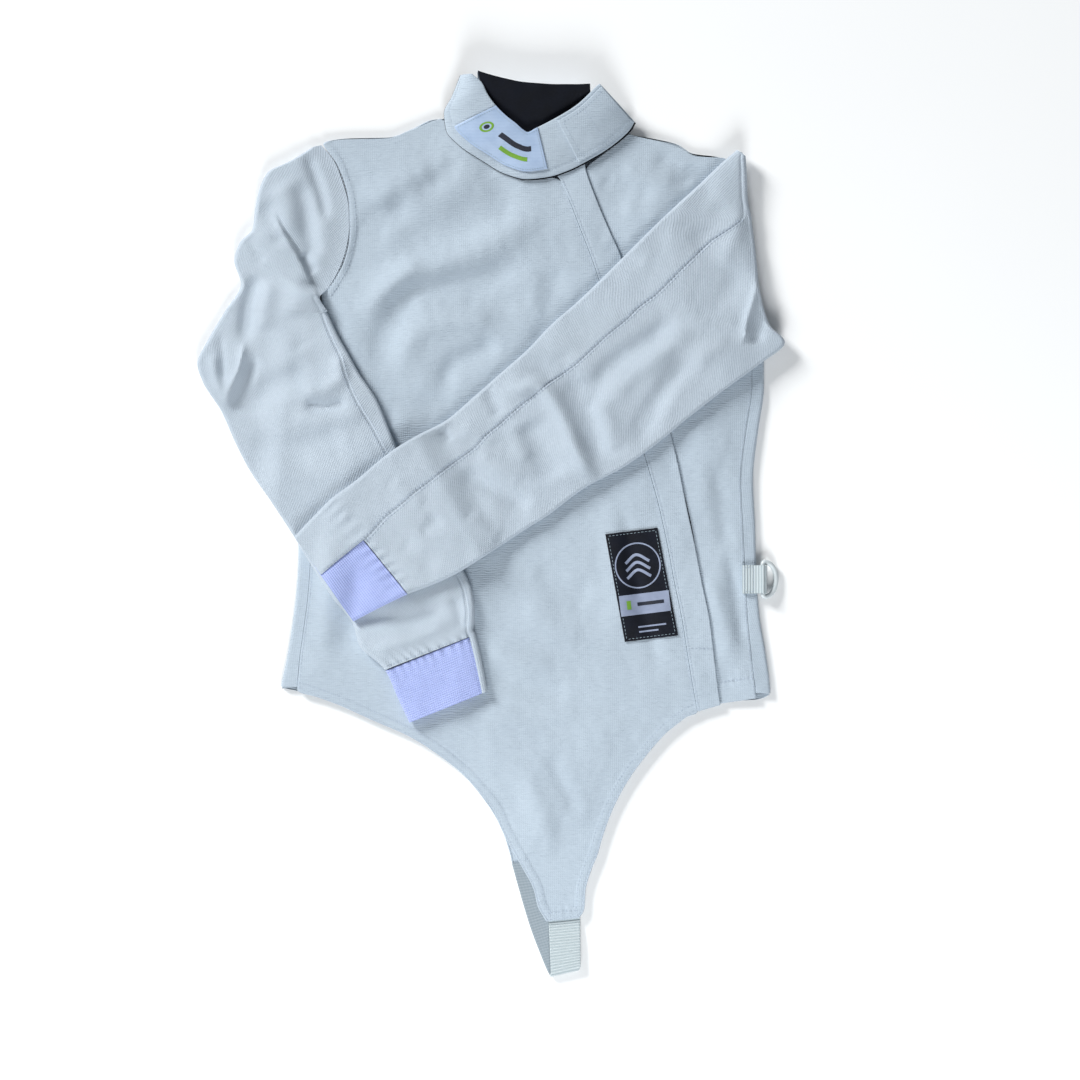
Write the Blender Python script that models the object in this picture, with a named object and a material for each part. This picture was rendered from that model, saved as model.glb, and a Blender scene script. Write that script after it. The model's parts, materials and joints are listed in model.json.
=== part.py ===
"""Fencing jacket laid flat, front up, with both sleeves crossed over the front.

Metres, +Z up. The jacket lies in the XY plane on z = 0 with its collar at +Y and the crotch
elastic at -Y. Tables hold millimetres: each row is one section (a rung) across a piece, given
by its two ends, and every piece is a cloth wall lofted through its rungs.
"""

import math

import bmesh
import bpy
import numpy as np

MM = 0.001

# Driving sizes, millimetres
CLOTH = 1.8  # wall of the double-layer jacket cloth
BACK_CLOTH = 1.6
KNIT = 1.6  # wall of the elastic cuffs
SEAM_GAP = 0.35  # half-open seam between two pieces
STACK_GAP = 1.5  # air between two layers that lie on each other
SIDE_ROUND = 2.6  # radius of the fold at the jacket's side
FRONT_EDGE_Z = 5.2  # top of the front panels at the side seams
FRONT_RISE = 2.1  # how much higher the middle of the front lies
FRONT_RISE_RUN = 60.0  # width over which it rises
SLEEVE_THICK = 7.4  # a flattened sleeve, both layers
CUFF_THICK = 6.4
CLIMB_START = 16.0  # how far outside the lower piece's edge the climb ends
CLIMB_RUN = 28.0  # width over which a sleeve climbs on to what lies under it
STRIP_WIDTH = 10.5  # back panel that wraps round the side on to the front
PLACKET_LIFT = 1.0  # placket above the front panel beside it
UNDERLAP_DROP = 2.6  # left front below the placket
COLLAR_CLOTH = 2.2
COLLAR_LIP_LIFT = 3.9
LINING_CLOTH = 1.2
PATCH = 1.0  # thickness of a label
PATCH_LIFT = 0.45  # air under a label
RING_WIRE = 4.6
RING_BAR = 32.0
RING_DEPTH = 13.0
RING_AXIS_X = 250.0
RING_AXIS_Y = -50.5
RING_AXIS_Z = 7.6
RING_REST_TILT = 21.0  # the D hangs from its bar down to the table, degrees
RING_CLEARANCE = 0.5
WEBBING = 1.2
WEBBING_WIDTH = 26.0
WEBBING_TAIL = 19.0  # how far the webbing runs back from the ring's bar
WEBBING_LAYER = 0.95  # height of each of its two layers from the bar's axis
UNDERLAP_RUN = 30.0  # width over which the left front comes up beside the placket
TAPE_CLOTH = 0.9
TAPE_LIFT = 0.35
TAPE_WIDTH = 7.0
TAPE_PEEK = 4.0
TAPE_BACK = 2.5
TAPE_MIDDLE_Y = 5.0
TAPE_SPREAD = 50.0
CAP_RUN = 28.0  # width over which the sleeve's cap rises beside the armhole
LOWER_SEAM = 0.14  # strip's seam on the hidden underside, as a share of the sleeve's width
WRIST_GAP = 0.02  # seam between sleeve and cuff, in rows
TAB_CLOTH = 1.6
TAB_PLACES = (9.6, 10, 11, 12, 13, 13.8)
TAB_SHARES = (0.05, 0.2, 0.4, 0.6, 0.8, 0.93)
LABEL_PLACES = (3.0, 4.0, 5.0, 6.0, 7.0, 8.1)
LABEL_SHARES = (0.16, 0.4, 0.6, 0.8, 1.0)
EDGE_CLOTH = 0.9
EDGE_LIFT = 0.45
EDGE_PEEK = 1.1
EDGE_TUCK = 6.0
LINING_LOW_Z = 9.6
BACK_BAND = 1.8
BACK_TOP_Z = 20.4
BACK_FOOT_Z = 2.6
BACK_INSET = 2.0
BACK_LEAN = 13.0
BACK_BULGE = 3.0
ELASTIC_CLOTH = 1.6

# Body outline, top to bottom: left and right end of each section
BODY = [
    # left_x, left_y, right_x, right_y
    (-12, 399, 92, 389),
    (-30, 387, 108, 376),
    (-41, 374, 128, 359),
    (-56, 372, 149, 355),
    (-75, 363, 171, 350),
    (-96, 356, 187, 341),
    (-134, 355, 209, 338),
    (-155, 350, 224, 332),
    (-141, 328, 216, 321),
    (-132, 297, 208, 294),
    (-131, 267, 207, 266),
    (-136, 242, 213, 242),
    (-147, 222, 224, 221),
    (-157, 210, 238, 205),
    (-163, 179, 251, 165),
    (-167, 142, 251, 126),
    (-171, 96, 246, 88),
    (-175, 50, 241, 41),
    (-177, 4, 243, -5),
    (-177, -30, 244, -46),
    (-179, -63, 247, -85),
    (-183, -95, 252, -115),
    (-188, -125, 256, -143),
    (-193, -149, 257, -155),
    (-180, -153, 246, -161),
    (-141, -162, 211, -163),
    (-109, -176, 190, -168),
    (-73, -193, 171, -181),
    (-32, -224, 147, -204),
    (-12, -247, 127, -232),
    (2, -267, 110, -256),
    (10, -283, 94, -277),
    (16, -301, 73, -296),
    (20, -318, 53, -314),
]
FIRST_WRAP, LAST_WRAP = 14, 23  # rows where the back wraps round the side to the side seam
WRAP_TO_FRONT = 3  # row FIRST_WRAP meets the right front's row FIRST_WRAP - 3
WRAP_TO_LEFT_FRONT = 2
FLAT_EDGE = 0.12  # share of the fold that an edge with no wrap keeps

# Right front (the overlapping one, with the chest and the front tongue) and its placket:
# outer edge, placket seam, and the placket's free edge down to the hem
FRONT = [
    # left_x, left_y, seam_x, seam_y
    (-47, 373, -36, 368),
    (-75, 362, -21, 348),
    (-96, 355, -1, 335),
    (-134, 354, 27, 324),
    (-154, 349, 64, 316),
    (-140, 328, 73, 296),
    (-131, 297, 83, 270),
    (-130, 267, 93, 244),
    (-135, 242, 101, 220),
    (-146, 222, 108, 197),
    (-156, 208, 113, 174),
    (-152, 179, 120, 150),
    (-156, 142, 126, 124),
    (-160, 96, 133, 92),
    (-164, 50, 144, 55),
    (-166, 4, 155, 15),
    (-166, -30, 163, -22),
    (-168, -63, 169, -54),
    (-172, -95, 176, -88),
    (-176, -125, 181, -120),
    (-178, -152, 186, -150),
    (-159, -159, 190, -172),
    (-140, -166, 180, -177),
    (-109, -180, 172, -183),
    (-73, -196, 162, -191),
    (-29, -227, 144, -211),
    (-11, -246, 124, -239),
    (3, -264, 110, -267),
    (9, -279, 102, -290),
    (19, -298, 98, -304),
    (29, -316, 93, -316),
    (39, -335, 87, -337),
    (43, -351, 86, -353),
    (51, -365, 81, -362),
]
PLACKET_FIRST, PLACKET_LAST = 4, 21
PLACKET_EDGE = [
    # edge_x, edge_y, a row for each front row from PLACKET_FIRST to PLACKET_LAST
    (87, 327),
    (98, 296),
    (109, 270),
    (120, 245),
    (127, 220),
    (133, 197),
    (140, 174),
    (147, 150),
    (154, 124),
    (163, 92),
    (172, 55),
    (180, 15),
    (188, -22),
    (194, -54),
    (201, -88),
    (205, -120),
    (209, -152),
    (211, -166),
]

# Left front: edge under the placket, and shoulder, armhole and side seam
LEFT_FRONT = [
    # under_x, under_y, right_x, right_y
    (126, 359, 137, 356),
    (113, 348, 155, 352),
    (100, 338, 174, 346),
    (89, 329, 190, 338),
    (84, 317, 213, 337),
    (90, 296, 222, 330),
    (101, 270, 216, 319),
    (111, 245, 208, 294),
    (119, 220, 206, 266),
    (125, 197, 212, 242),
    (131, 174, 223, 220),
    (138, 150, 237, 204),
    (145, 124, 240, 165),
    (154, 92, 240, 126),
    (163, 55, 235, 88),
    (171, 15, 230, 41),
    (179, -22, 232, -5),
    (185, -54, 234, -46),
    (192, -88, 236, -85),
    (196, -120, 239, -115),
    (200, -152, 242, -143),
    (202, -166, 244, -160),
]

# Right sleeve, which lies under the left one: outer fold, and armhole then inner fold
RIGHT_SLEEVE = [
    # out_x, out_y, in_x, in_y, seam, climb: seam is how far in from the inner edge the strip
    # reaches, as a share of the width, and climb is how far it lies on the front there
    (-164, 347, -156.6, 348.4, 0.00, 0.00),
    (-185, 334, -144.4, 333, 0.00, 0.00),
    (-205, 324, -137.0, 314, 0.00, 0.00),
    (-213, 308, -132.0, 294, 0.00, 0.00),
    (-217, 289, -131.2, 273, 0.00, 0.00),
    (-219, 272, -134.2, 253, 0.00, 0.00),
    (-231, 259, -140.8, 234, 0.00, 0.00),
    (-236, 242, -150.2, 218, 0.00, 0.10),
    (-230, 221, -157.8, 208.5, 0.00, 1.00),
    (-244, 197, -150, 194, 0.06, 1.00),
    (-259, 172, -141, 175, 0.06, 1.00),
    (-270, 148, -131, 157, 0.06, 1.00),
    (-265, 131, -121, 139, 0.09, 1.00),
    (-248, 104, -105, 115, 0.13, 1.00),
    (-235, 75, -94, 89, 0.10, 1.00),
    (-222, 50, -82, 61, 0.08, 1.00),
    (-202, 21, -63, 30, 0.07, 1.00),
    (-181, -11, -44, -7, 0.06, 1.00),
    (-162, -42, -26, -40, 0.06, 1.00),
    (-144, -69, -17, -62, 0.06, 1.00),
    (-127, -91, -15, -80, 0.06, 1.00),
    (-120, -112, -16, -95, 0.06, 1.00),
    (-97, -134, -14, -101, 0.07, 1.00),
    (-86, -158, -8, -127, 0.07, 1.00),
    (-75, -182, -3, -153, 0.07, 1.00),
]
RIGHT_UNDERARM = 8  # row where the armhole ends and the strip begins
RIGHT_WRIST = 22  # row of the cuff seam

# Left sleeve, on top: upper fold (strip side) and lower fold
LEFT_SLEEVE = [
    # up_x, up_y, low_x, low_y, seam, climb
    (226, 344, 234, 338, 0.90, 1.00),
    (213, 333, 235, 324, 0.90, 1.00),
    (192, 313, 236, 300, 0.90, 1.00),
    (168, 291, 239, 284, 0.90, 1.00),
    (144, 268, 243, 253, 0.58, 1.00),
    (121, 245, 247, 216, 0.42, 1.00),
    (100, 224, 256, 184, 0.33, 1.00),
    (79, 204, 270, 167, 0.27, 1.00),
    (56, 184, 245, 146, 0.27, 1.00),
    (33, 160, 211, 121, 0.27, 1.00),
    (8, 138, 179, 96, 0.25, 1.00),
    (-17, 116, 151, 73, 0.24, 1.00),
    (-42, 95, 121, 52, 0.25, 1.00),
    (-65, 83, 87, 34, 0.31, 1.00),
    (-87, 70, 52, 8, 0.32, 1.00),
    (-98, 62, 33, -4, 0.33, 1.00),
    (-109, 53, 13, -17, 0.33, 1.00),
    (-118, 45, -10, -32, 0.34, 1.00),
    (-128, 37, -33, -46, 0.35, 1.00),
    (-138, 30, -55, -56, 0.39, 1.00),
    (-147, 23, -76, -64, 0.43, 1.00),
    (-164, 6, -101, -76, 0.44, 1.00),
    (-180, -11, -126, -89, 0.45, 1.00),
]
LEFT_WRIST = 20

# Collar band, round the neck from the jacket's right side: free lower lip and top edge
COLLAR = [
    # lip_x, lip_y, top_x, top_y, top_z
    (-28, 413, -17, 413, 23.5),
    (-36, 393, -8, 405, 23.0),
    (-43, 378, -3, 395, 21.5),
    (-41, 362, 5, 384, 20.0),
    (-29, 348, 14, 375, 19.0),
    (-8, 334, 23, 368, 18.0),
    (13, 322, 30, 362, 17.0),
    (33, 317, 34, 360, 16.5),
    (52, 319, 42, 364, 17.0),
    (71, 325, 52, 369, 18.0),
    (89, 334, 65, 376, 19.0),
    (106, 344, 79, 385, 21.0),
    (119, 354, 89, 394, 22.0),
    (128, 363, 97, 402, 23.0),
    (132, 370, 100, 404, 23.5),
]
# Back of the collar: its top edge, and how far down inside the neck the lining shows
COLLAR_BACK = [
    # back_x, back_y, low_x, low_y
    (-12, 416.0, -6, 388),
    (-1, 412.5, 0, 376),
    (13, 409.0, 14, 362),
    (27, 406.0, 29, 352),
    (43, 404.5, 46, 354),
    (60, 403.5, 62, 362),
    (77, 403.5, 78, 373),
    (91, 404.0, 92, 385),
]
COLLAR_BACK_Z = 24.0

# Crotch elastic: from under the front tongue down, folded over and back up to the back tongue
ELASTIC = [
    # left_x, left_y, right_x, right_y, z
    (53.0, -366.6, 82.0, -363.6, 4.4),
    (54.0, -387.0, 82.2, -384.0, 5.4),
    (55.0, -411.5, 82.4, -405.5, 5.6),
    (54.7, -414.2, 81.7, -408.2, 5.1),
    (54.2, -415.4, 80.8, -409.4, 3.2),
    (53.7, -414.2, 80.1, -408.2, 1.3),
    (52.0, -411.0, 79.6, -404.8, 0.8),
    (37.0, -373.0, 65.6, -364.0, 0.8),
    (21.2, -319.6, 53.8, -315.6, 0.8),
]

FRONT_LABEL = [
    # left_x, left_y, right_x, right_y: its upper and lower edge
    (105, -9, 153, -3),
    (123, -108, 172, -102),
]

# Largest folds: ridges (height > 0) and troughs along a line, soft over the width
FRONT_FOLDS = [
    # from_x, from_y, to_x, to_y, width, height
    (36, 296, -110, 236, 22, -1.6),
    (30, 262, -96, 214, 18, 1.8),
    (-96, 214, -110, 150, 16, -1.4),
]
RIGHT_SLEEVE_FOLDS = [
    (-222, 226, -214, 178, 9, -2.4),
    (-232, 148, -246, 106, 8, 2.6),
    (-184, 118, -136, 108, 9, 2.2),
    (-176, 100, -120, 96, 9, -1.8),
    (-110, -118, -40, -90, 8, 1.6),
]
LEFT_SLEEVE_FOLDS = [
    (28, 127, 50, 127, 11, 2.4),
    (52, 124, 86, 58, 11, 4.5),
    (70, 116, 97, 74, 10, -2.4),
    (40, 82, 56, 46, 10, -2.0),
    (6, 44, 34, 16, 10, -1.8),
    (150, 176, 96, 132, 14, -2.2),
    (184, 138, 140, 86, 14, -2.0),
    (246, 222, 238, 160, 9, 2.6),
]


def clear_scene():
    """Remove every object that the file opened with."""
    for thing in list(bpy.data.objects):
        bpy.data.objects.remove(thing, do_unlink=True)


def smooth(share):
    """0 to 1 with level ends."""
    share = np.clip(share, 0.0, 1.0)
    return share * share * (3.0 - 2.0 * share)


def outline_of(rows):
    """Closed outline through both ends of a table's rows."""
    ends = np.array([row[:4] for row in rows], float)
    return np.vstack([ends[:, :2], ends[::-1, 2:4]])


def distance_outside(points, outline):
    """Distance of each (x, y) from a closed outline: positive outside, negative inside."""
    start = outline
    run = np.roll(outline, -1, axis=0) - start
    offset = points[..., None, :] - start
    share = (offset * run).sum(-1) / np.maximum((run * run).sum(-1), 1e-9)
    nearest = offset - np.clip(share, 0.0, 1.0)[..., None] * run
    distance = np.sqrt((nearest**2).sum(-1)).min(-1)
    above = points[..., None, 1] < start[:, 1]
    beyond = points[..., None, 1] < start[:, 1] + run[:, 1]
    crosses = above != beyond
    rise = np.where(np.abs(run[:, 1]) < 1e-9, 1e-9, run[:, 1])
    reach = start[:, 0] + (points[..., None, 1] - start[:, 1]) / rise * run[:, 0]
    inside = (crosses & (points[..., None, 0] < reach)).sum(-1) % 2 == 1
    return np.where(inside, -distance, distance)


def folds_at(points, folds):
    """Sum of soft ridges and troughs: a bell across each line, fading past its ends."""
    total = np.zeros(points.shape[:-1])
    for from_x, from_y, to_x, to_y, width, height in folds:
        start = np.array([from_x, from_y], float)
        run = np.array([to_x - from_x, to_y - from_y], float)
        offset = points - start
        share = (offset @ run) / (run @ run)
        nearest = offset - np.clip(share, 0.0, 1.0)[..., None] * run
        total += height * np.exp(-(nearest**2).sum(-1) / width**2)
    return total


BODY_OUTLINE = outline_of(BODY)
RIGHT_SLEEVE_OUTLINE = outline_of(RIGHT_SLEEVE)


def front_top(points):
    """Height of the front panels' upper face."""
    inside = -distance_outside(points, BODY_OUTLINE)
    rise = FRONT_RISE * smooth(inside / FRONT_RISE_RUN)
    return FRONT_EDGE_Z + rise + folds_at(points, FRONT_FOLDS) * smooth(inside / 20.0)


def over_body(points):
    """Height on which a sleeve lies: the front, then down to the table outside the body."""
    outside = distance_outside(points, BODY_OUTLINE)
    share = 1.0 - smooth((outside - CLIMB_START) / CLIMB_RUN)
    return share * (front_top(points) + STACK_GAP)


def over_right_sleeve(points):
    """Height on which the left sleeve lies: the right sleeve where that is beneath it."""
    outside = distance_outside(points, RIGHT_SLEEVE_OUTLINE)
    share = 1.0 - smooth((outside - CLIMB_START) / CLIMB_RUN)
    lying = over_body(points)
    fold = np.maximum(folds_at(points, RIGHT_SLEEVE_FOLDS), 0.0)
    return lying + share * (SLEEVE_THICK + STACK_GAP + fold)


def rungs(rows, shares):
    """Points on each row's section: an array (row, share, x and y)."""
    ends = np.array([row[:4] for row in rows], float)
    shares = np.asarray(shares, float)
    return ends[:, None, :2] * (1.0 - shares[:, None]) + ends[:, None, 2:4] * shares[:, None]


def with_height(points, heights):
    return np.concatenate([points, np.asarray(heights)[..., None]], axis=-1)


def thickened(face, wall, square=None):
    """The inner face of a cloth wall, one wall's thickness behind the given face.

    square is a direction for each row, in the plane: both side edges are cut square to it, so
    that two pieces meet face to face at a seam.
    """
    along = np.gradient(face, axis=0)
    across = np.gradient(face, axis=1)
    normal = np.cross(along, across)
    if square is not None:
        for column in (0, -1):
            lean = (normal[:, column] * square).sum(-1, keepdims=True)
            normal[:, column] -= lean * square
    normal /= np.maximum(np.linalg.norm(normal, axis=-1, keepdims=True), 1e-9)
    return face - wall * normal


def material(name, colour, roughness, metallic=0.0):
    made = bpy.data.materials.new(name)
    made.use_nodes = True
    shader = made.node_tree.nodes["Principled BSDF"]
    shader.inputs["Base Color"].default_value = (*colour, 1.0)
    shader.inputs["Roughness"].default_value = roughness
    shader.inputs["Metallic"].default_value = metallic
    made.diffuse_color = (*colour, 1.0)
    return made


def mesh_object(name, points, faces, finish, origin=(0.0, 0.0, 0.0)):
    """An object from points in millimetres, with its faces turned outwards."""
    mesh = bpy.data.meshes.new(name)
    origin = np.array(origin, float)
    mesh.from_pydata([tuple(p) for p in (np.asarray(points) - origin) * MM], [], faces)
    shape = bmesh.new()
    shape.from_mesh(mesh)
    bmesh.ops.recalc_face_normals(shape, faces=shape.faces)
    if shape.calc_volume(signed=True) < 0.0:
        bmesh.ops.reverse_faces(shape, faces=shape.faces)
    shape.to_mesh(mesh)
    shape.free()
    mesh.materials.append(finish)
    mesh.shade_smooth()
    mesh.set_sharp_from_angle(angle=math.radians(50))
    made = bpy.data.objects.new(name, mesh)
    made.location = origin * MM
    bpy.context.scene.collection.objects.link(made)
    return made


def wall_object(name, outer, inner, finish):
    """A cloth wall: two faces on the same grid, closed along all four edges."""
    rows, columns = outer.shape[:2]
    points = np.vstack([outer.reshape(-1, 3), inner.reshape(-1, 3)])
    number = np.arange(rows * columns).reshape(rows, columns)
    back = number + rows * columns
    faces = []
    for i in range(rows - 1):
        for j in range(columns - 1):
            faces.append((number[i, j], number[i, j + 1], number[i + 1, j + 1], number[i + 1, j]))
            faces.append((back[i, j], back[i + 1, j], back[i + 1, j + 1], back[i, j + 1]))
    rim = [*number[0, :], *number[1:, -1], *number[-1, -2::-1], *number[-2:0:-1, 0]]
    behind = [*back[0, :], *back[1:, -1], *back[-1, -2::-1], *back[-2:0:-1, 0]]
    for k in range(len(rim)):
        after = (k + 1) % len(rim)
        faces.append((rim[k], behind[k], behind[after], rim[after]))
    return mesh_object(name, points, faces, finish)


def panel(name, rows, count, height, wall, finish, trim=(0.0, 0.0)):
    """A panel that lies flat: its upper face follows a height, its lower face is a wall below.

    trim shortens each row by that many millimetres at its first and second end.
    """
    ends = np.array([row[:4] for row in rows], float)
    run = ends[:, 2:] - ends[:, :2]
    unit = run / np.linalg.norm(run, axis=1, keepdims=True)
    ends[:, :2] += unit * trim[0]
    ends[:, 2:] -= unit * trim[1]
    flat = rungs(ends, np.linspace(0.0, 1.0, count))
    upper = with_height(flat, height(flat))
    lower = upper - np.array([0.0, 0.0, wall])
    return wall_object(name, upper, lower, finish)


def stations(rows, places):
    """A table's rows read at whole or part row numbers, straight between two rows."""
    table = np.array(rows, float)
    numbers = np.arange(len(table))
    columns = [np.interp(places, numbers, table[:, c]) for c in range(table.shape[1])]
    return np.stack(columns, axis=1)


def side_fold(end, inward, strip_end, wrap):
    """Points of the back round one side, from the strip's end on the front down to the table."""
    centre = end + inward * SIDE_ROUND
    turn = math.pi * wrap
    points = []
    run = np.linalg.norm(strip_end - centre) * wrap
    top = centre - inward * SIDE_ROUND * math.sin(turn)
    if wrap == 1.0:
        points.append((*strip_end, float(front_top(strip_end))))
    else:
        rise = SIDE_ROUND - SIDE_ROUND * math.cos(turn)
        points.append((*(top - inward * run * math.cos(turn)), rise + run * math.sin(turn)))
    for angle in np.linspace(turn, 0.0, 4):
        flat = centre - inward * SIDE_ROUND * math.sin(angle)
        points.append((*flat, SIDE_ROUND - SIDE_ROUND * math.cos(angle)))
    return points


def build_back(finish):
    """Flat on the table, folded up round both sides to the side seams on the front."""
    sections = []
    for index, row in enumerate(BODY):
        left, right = np.array(row[:2], float), np.array(row[2:], float)
        inward = (right - left) / np.linalg.norm(right - left)
        wrap = 1.0 if FIRST_WRAP <= index <= LAST_WRAP else FLAT_EDGE
        left_seam, right_seam = left + inward * STRIP_WIDTH, right - inward * STRIP_WIDTH
        if wrap == 1.0:
            left_seam = np.array(FRONT[index - WRAP_TO_FRONT][:2]) - inward * SEAM_GAP
            right_seam = np.array(LEFT_FRONT[index - WRAP_TO_LEFT_FRONT][2:]) + inward * SEAM_GAP
        section = side_fold(left, inward, left_seam, wrap)
        section += [(*(left + (right - left) * share), 0.0) for share in (0.25, 0.5, 0.75)]
        section += side_fold(right, -inward, right_seam, wrap)[::-1]
        sections.append(section)
    outer = np.array(sections)
    return wall_object("back", outer, thickened(outer, -BACK_CLOTH), finish)


def build_right_front(finish):
    rows = np.array(FRONT, float)
    return panel("front_right", rows, 11, front_top, CLOTH, finish, (0.0, SEAM_GAP / 2))


def placket_rows():
    """The placket's rungs: its seam on the right front, and its free edge."""
    seams = np.array(FRONT[PLACKET_FIRST : PLACKET_LAST + 1], float)[:, 2:]
    return np.hstack([seams, np.array(PLACKET_EDGE, float)])


def build_placket(finish):
    def height(points):
        return front_top(points) + PLACKET_LIFT

    return panel("placket", placket_rows(), 4, height, CLOTH, finish, (SEAM_GAP / 2, 0.0))


def beside_placket(points):
    """How far a point lies to the right of the placket's free edge."""
    edge = np.array(PLACKET_EDGE, float)[::-1]
    return points[..., 0] - np.interp(points[..., 1], edge[:, 1], edge[:, 0])


def left_front_top(points):
    drop = UNDERLAP_DROP * (1.0 - smooth(beside_placket(points) / UNDERLAP_RUN))
    return np.maximum(front_top(points) - drop, BACK_CLOTH + CLOTH + SEAM_GAP)


def build_left_front(finish):
    return panel("front_left", LEFT_FRONT, 7, left_front_top, CLOTH, finish)


def build_zip_tape(finish):
    """The fly's dark tape, seen along the middle of the placket's free edge."""
    edge = np.array(PLACKET_EDGE, float)[2:-2]
    peek = TAPE_PEEK * np.exp(-(((edge[:, 1] - TAPE_MIDDLE_Y) / TAPE_SPREAD) ** 2))
    right = edge + np.stack([peek - TAPE_BACK, np.zeros(len(edge))], axis=1)
    left = edge - np.array([TAPE_WIDTH, 0.0])

    def height(points):
        return left_front_top(points) + TAPE_CLOTH + TAPE_LIFT

    return panel("zip_tape", np.hstack([left, right]), 3, height, TAPE_CLOTH, finish)


class Sleeve:
    """A flattened sleeve: a ring of cloth through each rung, closed round both folds."""

    def __init__(self, rows, under, folds, armhole_rows=-1, thick=SLEEVE_THICK):
        self.rows = rows
        self.under = under
        self.folds = folds
        self.armhole_rows = armhole_rows
        self.thick = thick

    def flat(self, place):
        """Strip-side end, direction and width of a rung, its fold radius, seam and climb."""
        row = stations(self.rows, [place])[0]
        start, end = row[:2], row[2:4]
        width = float(np.linalg.norm(end - start))
        radius = min(self.thick / 2, 0.3 * width)
        return start, (end - start) / width, width, radius, row[4], row[5]

    def levels(self, point, place, climb):
        """Heights of the lower and the upper face at a point of a rung."""
        low = float(self.under(point)) * climb
        high = low + self.thick + float(folds_at(point, self.folds))
        if place < self.armhole_rows:
            beyond = float(distance_outside(point, BODY_OUTLINE))
            share = float(smooth(beyond / CAP_RUN))
            high = (FRONT_EDGE_Z + low) * (1.0 - share) + high * share
        return low, high

    def section(self, place, top, bottom, around_end=True):
        """Part of the ring: along the top between two shares, round one fold, along the bottom.

        top and bottom are (from, to) shares of the width, counted from the strip side. The
        section runs round the far fold, or with around_end False round the strip's own fold.
        """
        start, unit, width, radius, _, climb = self.flat(place)
        open_start = place <= self.armhole_rows
        low_limit = 0.0 if open_start else radius

        def face(shares, upper):
            first, last, count = shares
            ends = np.clip(np.array([first, last]) * width, low_limit, width - radius)
            made = []
            for along in np.linspace(*ends, count):
                point = start + unit * along
                low, high = self.levels(point, place, climb)
                made.append((*point, high if upper else low))
            return made

        points = face(top, True)
        turn_at = width - radius if around_end else radius
        sign = 1.0 if around_end else -1.0
        centre = start + unit * turn_at
        low, high = self.levels(centre, place, climb)
        for angle in np.radians([45, 90, 135]):
            flat = centre + sign * unit * radius * math.sin(angle)
            points.append((*flat, (high + low) / 2 + (high - low) / 2 * math.cos(angle)))
        points += face(bottom, False)
        return points

    def piece(self, name, places, limits, wall, finish, around_end=True):
        """A piece of the sleeve from its sections. limits gives top and bottom for a place."""
        outer = np.array(
            [self.section(place, *limits(place), around_end=around_end) for place in places]
        )
        square = np.array([[*self.flat(place)[1], 0.0] for place in places])
        inner = thickened(outer, wall, square)
        if inner[:, 0, 2].mean() > outer[:, 0, 2].mean():
            inner = thickened(outer, -wall, square)
        return wall_object(name, outer, inner, finish)


def seam_share(sleeve, place):
    """Where the strip's seam lies on the upper face, kept clear of both folds."""
    _, _, width, radius, seam, _ = sleeve.flat(place)
    low = (radius + 1.2) / width
    high = 1.0 - (radius + 2.0) / width
    return min(max(seam, low), high), width


def main_limits(sleeve):
    """The sleeve's main panel: from the strip's seam round the far fold to the lower seam."""

    def limits(place):
        if place <= sleeve.armhole_rows:
            return (0.0, 1.0, 8), (1.0, 0.0, 7)
        seam, width = seam_share(sleeve, place)
        gap = SEAM_GAP / width
        return (seam + gap, 1.0, 8), (1.0, seam_share_below(sleeve, place) + gap, 7)

    return limits


def seam_share_below(sleeve, place):
    _, _, width, radius, _, _ = sleeve.flat(place)
    return max(LOWER_SEAM, (radius + 1.2) / width)


def strip_limits(sleeve):
    """The strip: from its seam on the upper face round the near fold to the lower seam."""

    def limits(place):
        seam, width = seam_share(sleeve, place)
        gap = SEAM_GAP / width
        below = seam_share_below(sleeve, place) - gap
        return (seam - gap, 0.0, 3), (0.0, below, 2)

    return limits


def turned(rows):
    """The same rungs with their two ends exchanged."""
    return [(row[2], row[3], row[0], row[1], *row[4:]) for row in rows]


def build_sleeve(side, rows, under, folds, armhole_rows, wrist, finishes):
    """Main panel, strip and elastic cuff of one sleeve."""
    last = len(rows) - 1
    sleeve = Sleeve(rows, under, folds, armhole_rows)
    places = [*range(wrist), wrist - WRIST_GAP]
    sleeve.piece(f"sleeve_{side}", places, main_limits(sleeve), CLOTH, finishes["sleeve"])
    places = range(armhole_rows + 1, last + 1)
    strip = strip_limits(sleeve)
    sleeve.piece(f"sleeve_strip_{side}", places, strip, CLOTH, finishes["sleeve"], False)
    cuff = Sleeve(rows, under, (), armhole_rows, CUFF_THICK)
    places = [wrist + WRIST_GAP, *range(wrist + 1, last + 1)]
    cuff.piece(f"cuff_{side}", places, cuff_limits(cuff, sleeve), KNIT, finishes["cuff"])


def cuff_limits(cuff, sleeve):
    """The cuff closes the sleeve's ring beside the strip, clear of the strip's two edges."""

    def limits(place):
        seam, width = seam_share(sleeve, place)
        gap = 2.0 * SEAM_GAP / width
        below = seam_share_below(sleeve, place) + gap
        return (seam + gap, 1.0, 7), (1.0, below, 5)

    return limits


def collar_height(points, share, top_z):
    """Upper face of the collar band: its lip just above the front, its top edge standing up."""
    lip = front_top(points) + COLLAR_LIP_LIFT
    return lip + (top_z - lip) * np.sin(share * math.pi / 2)


def collar_points(places, shares, lift):
    """Points on the collar band at row places and shares from its lip to its top edge."""
    table = stations(COLLAR, places)
    flat = rungs(table, shares)
    shares = np.broadcast_to(np.asarray(shares, float), flat.shape[:2])
    return with_height(flat, collar_height(flat, shares, table[:, 4:5]) + lift)


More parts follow.
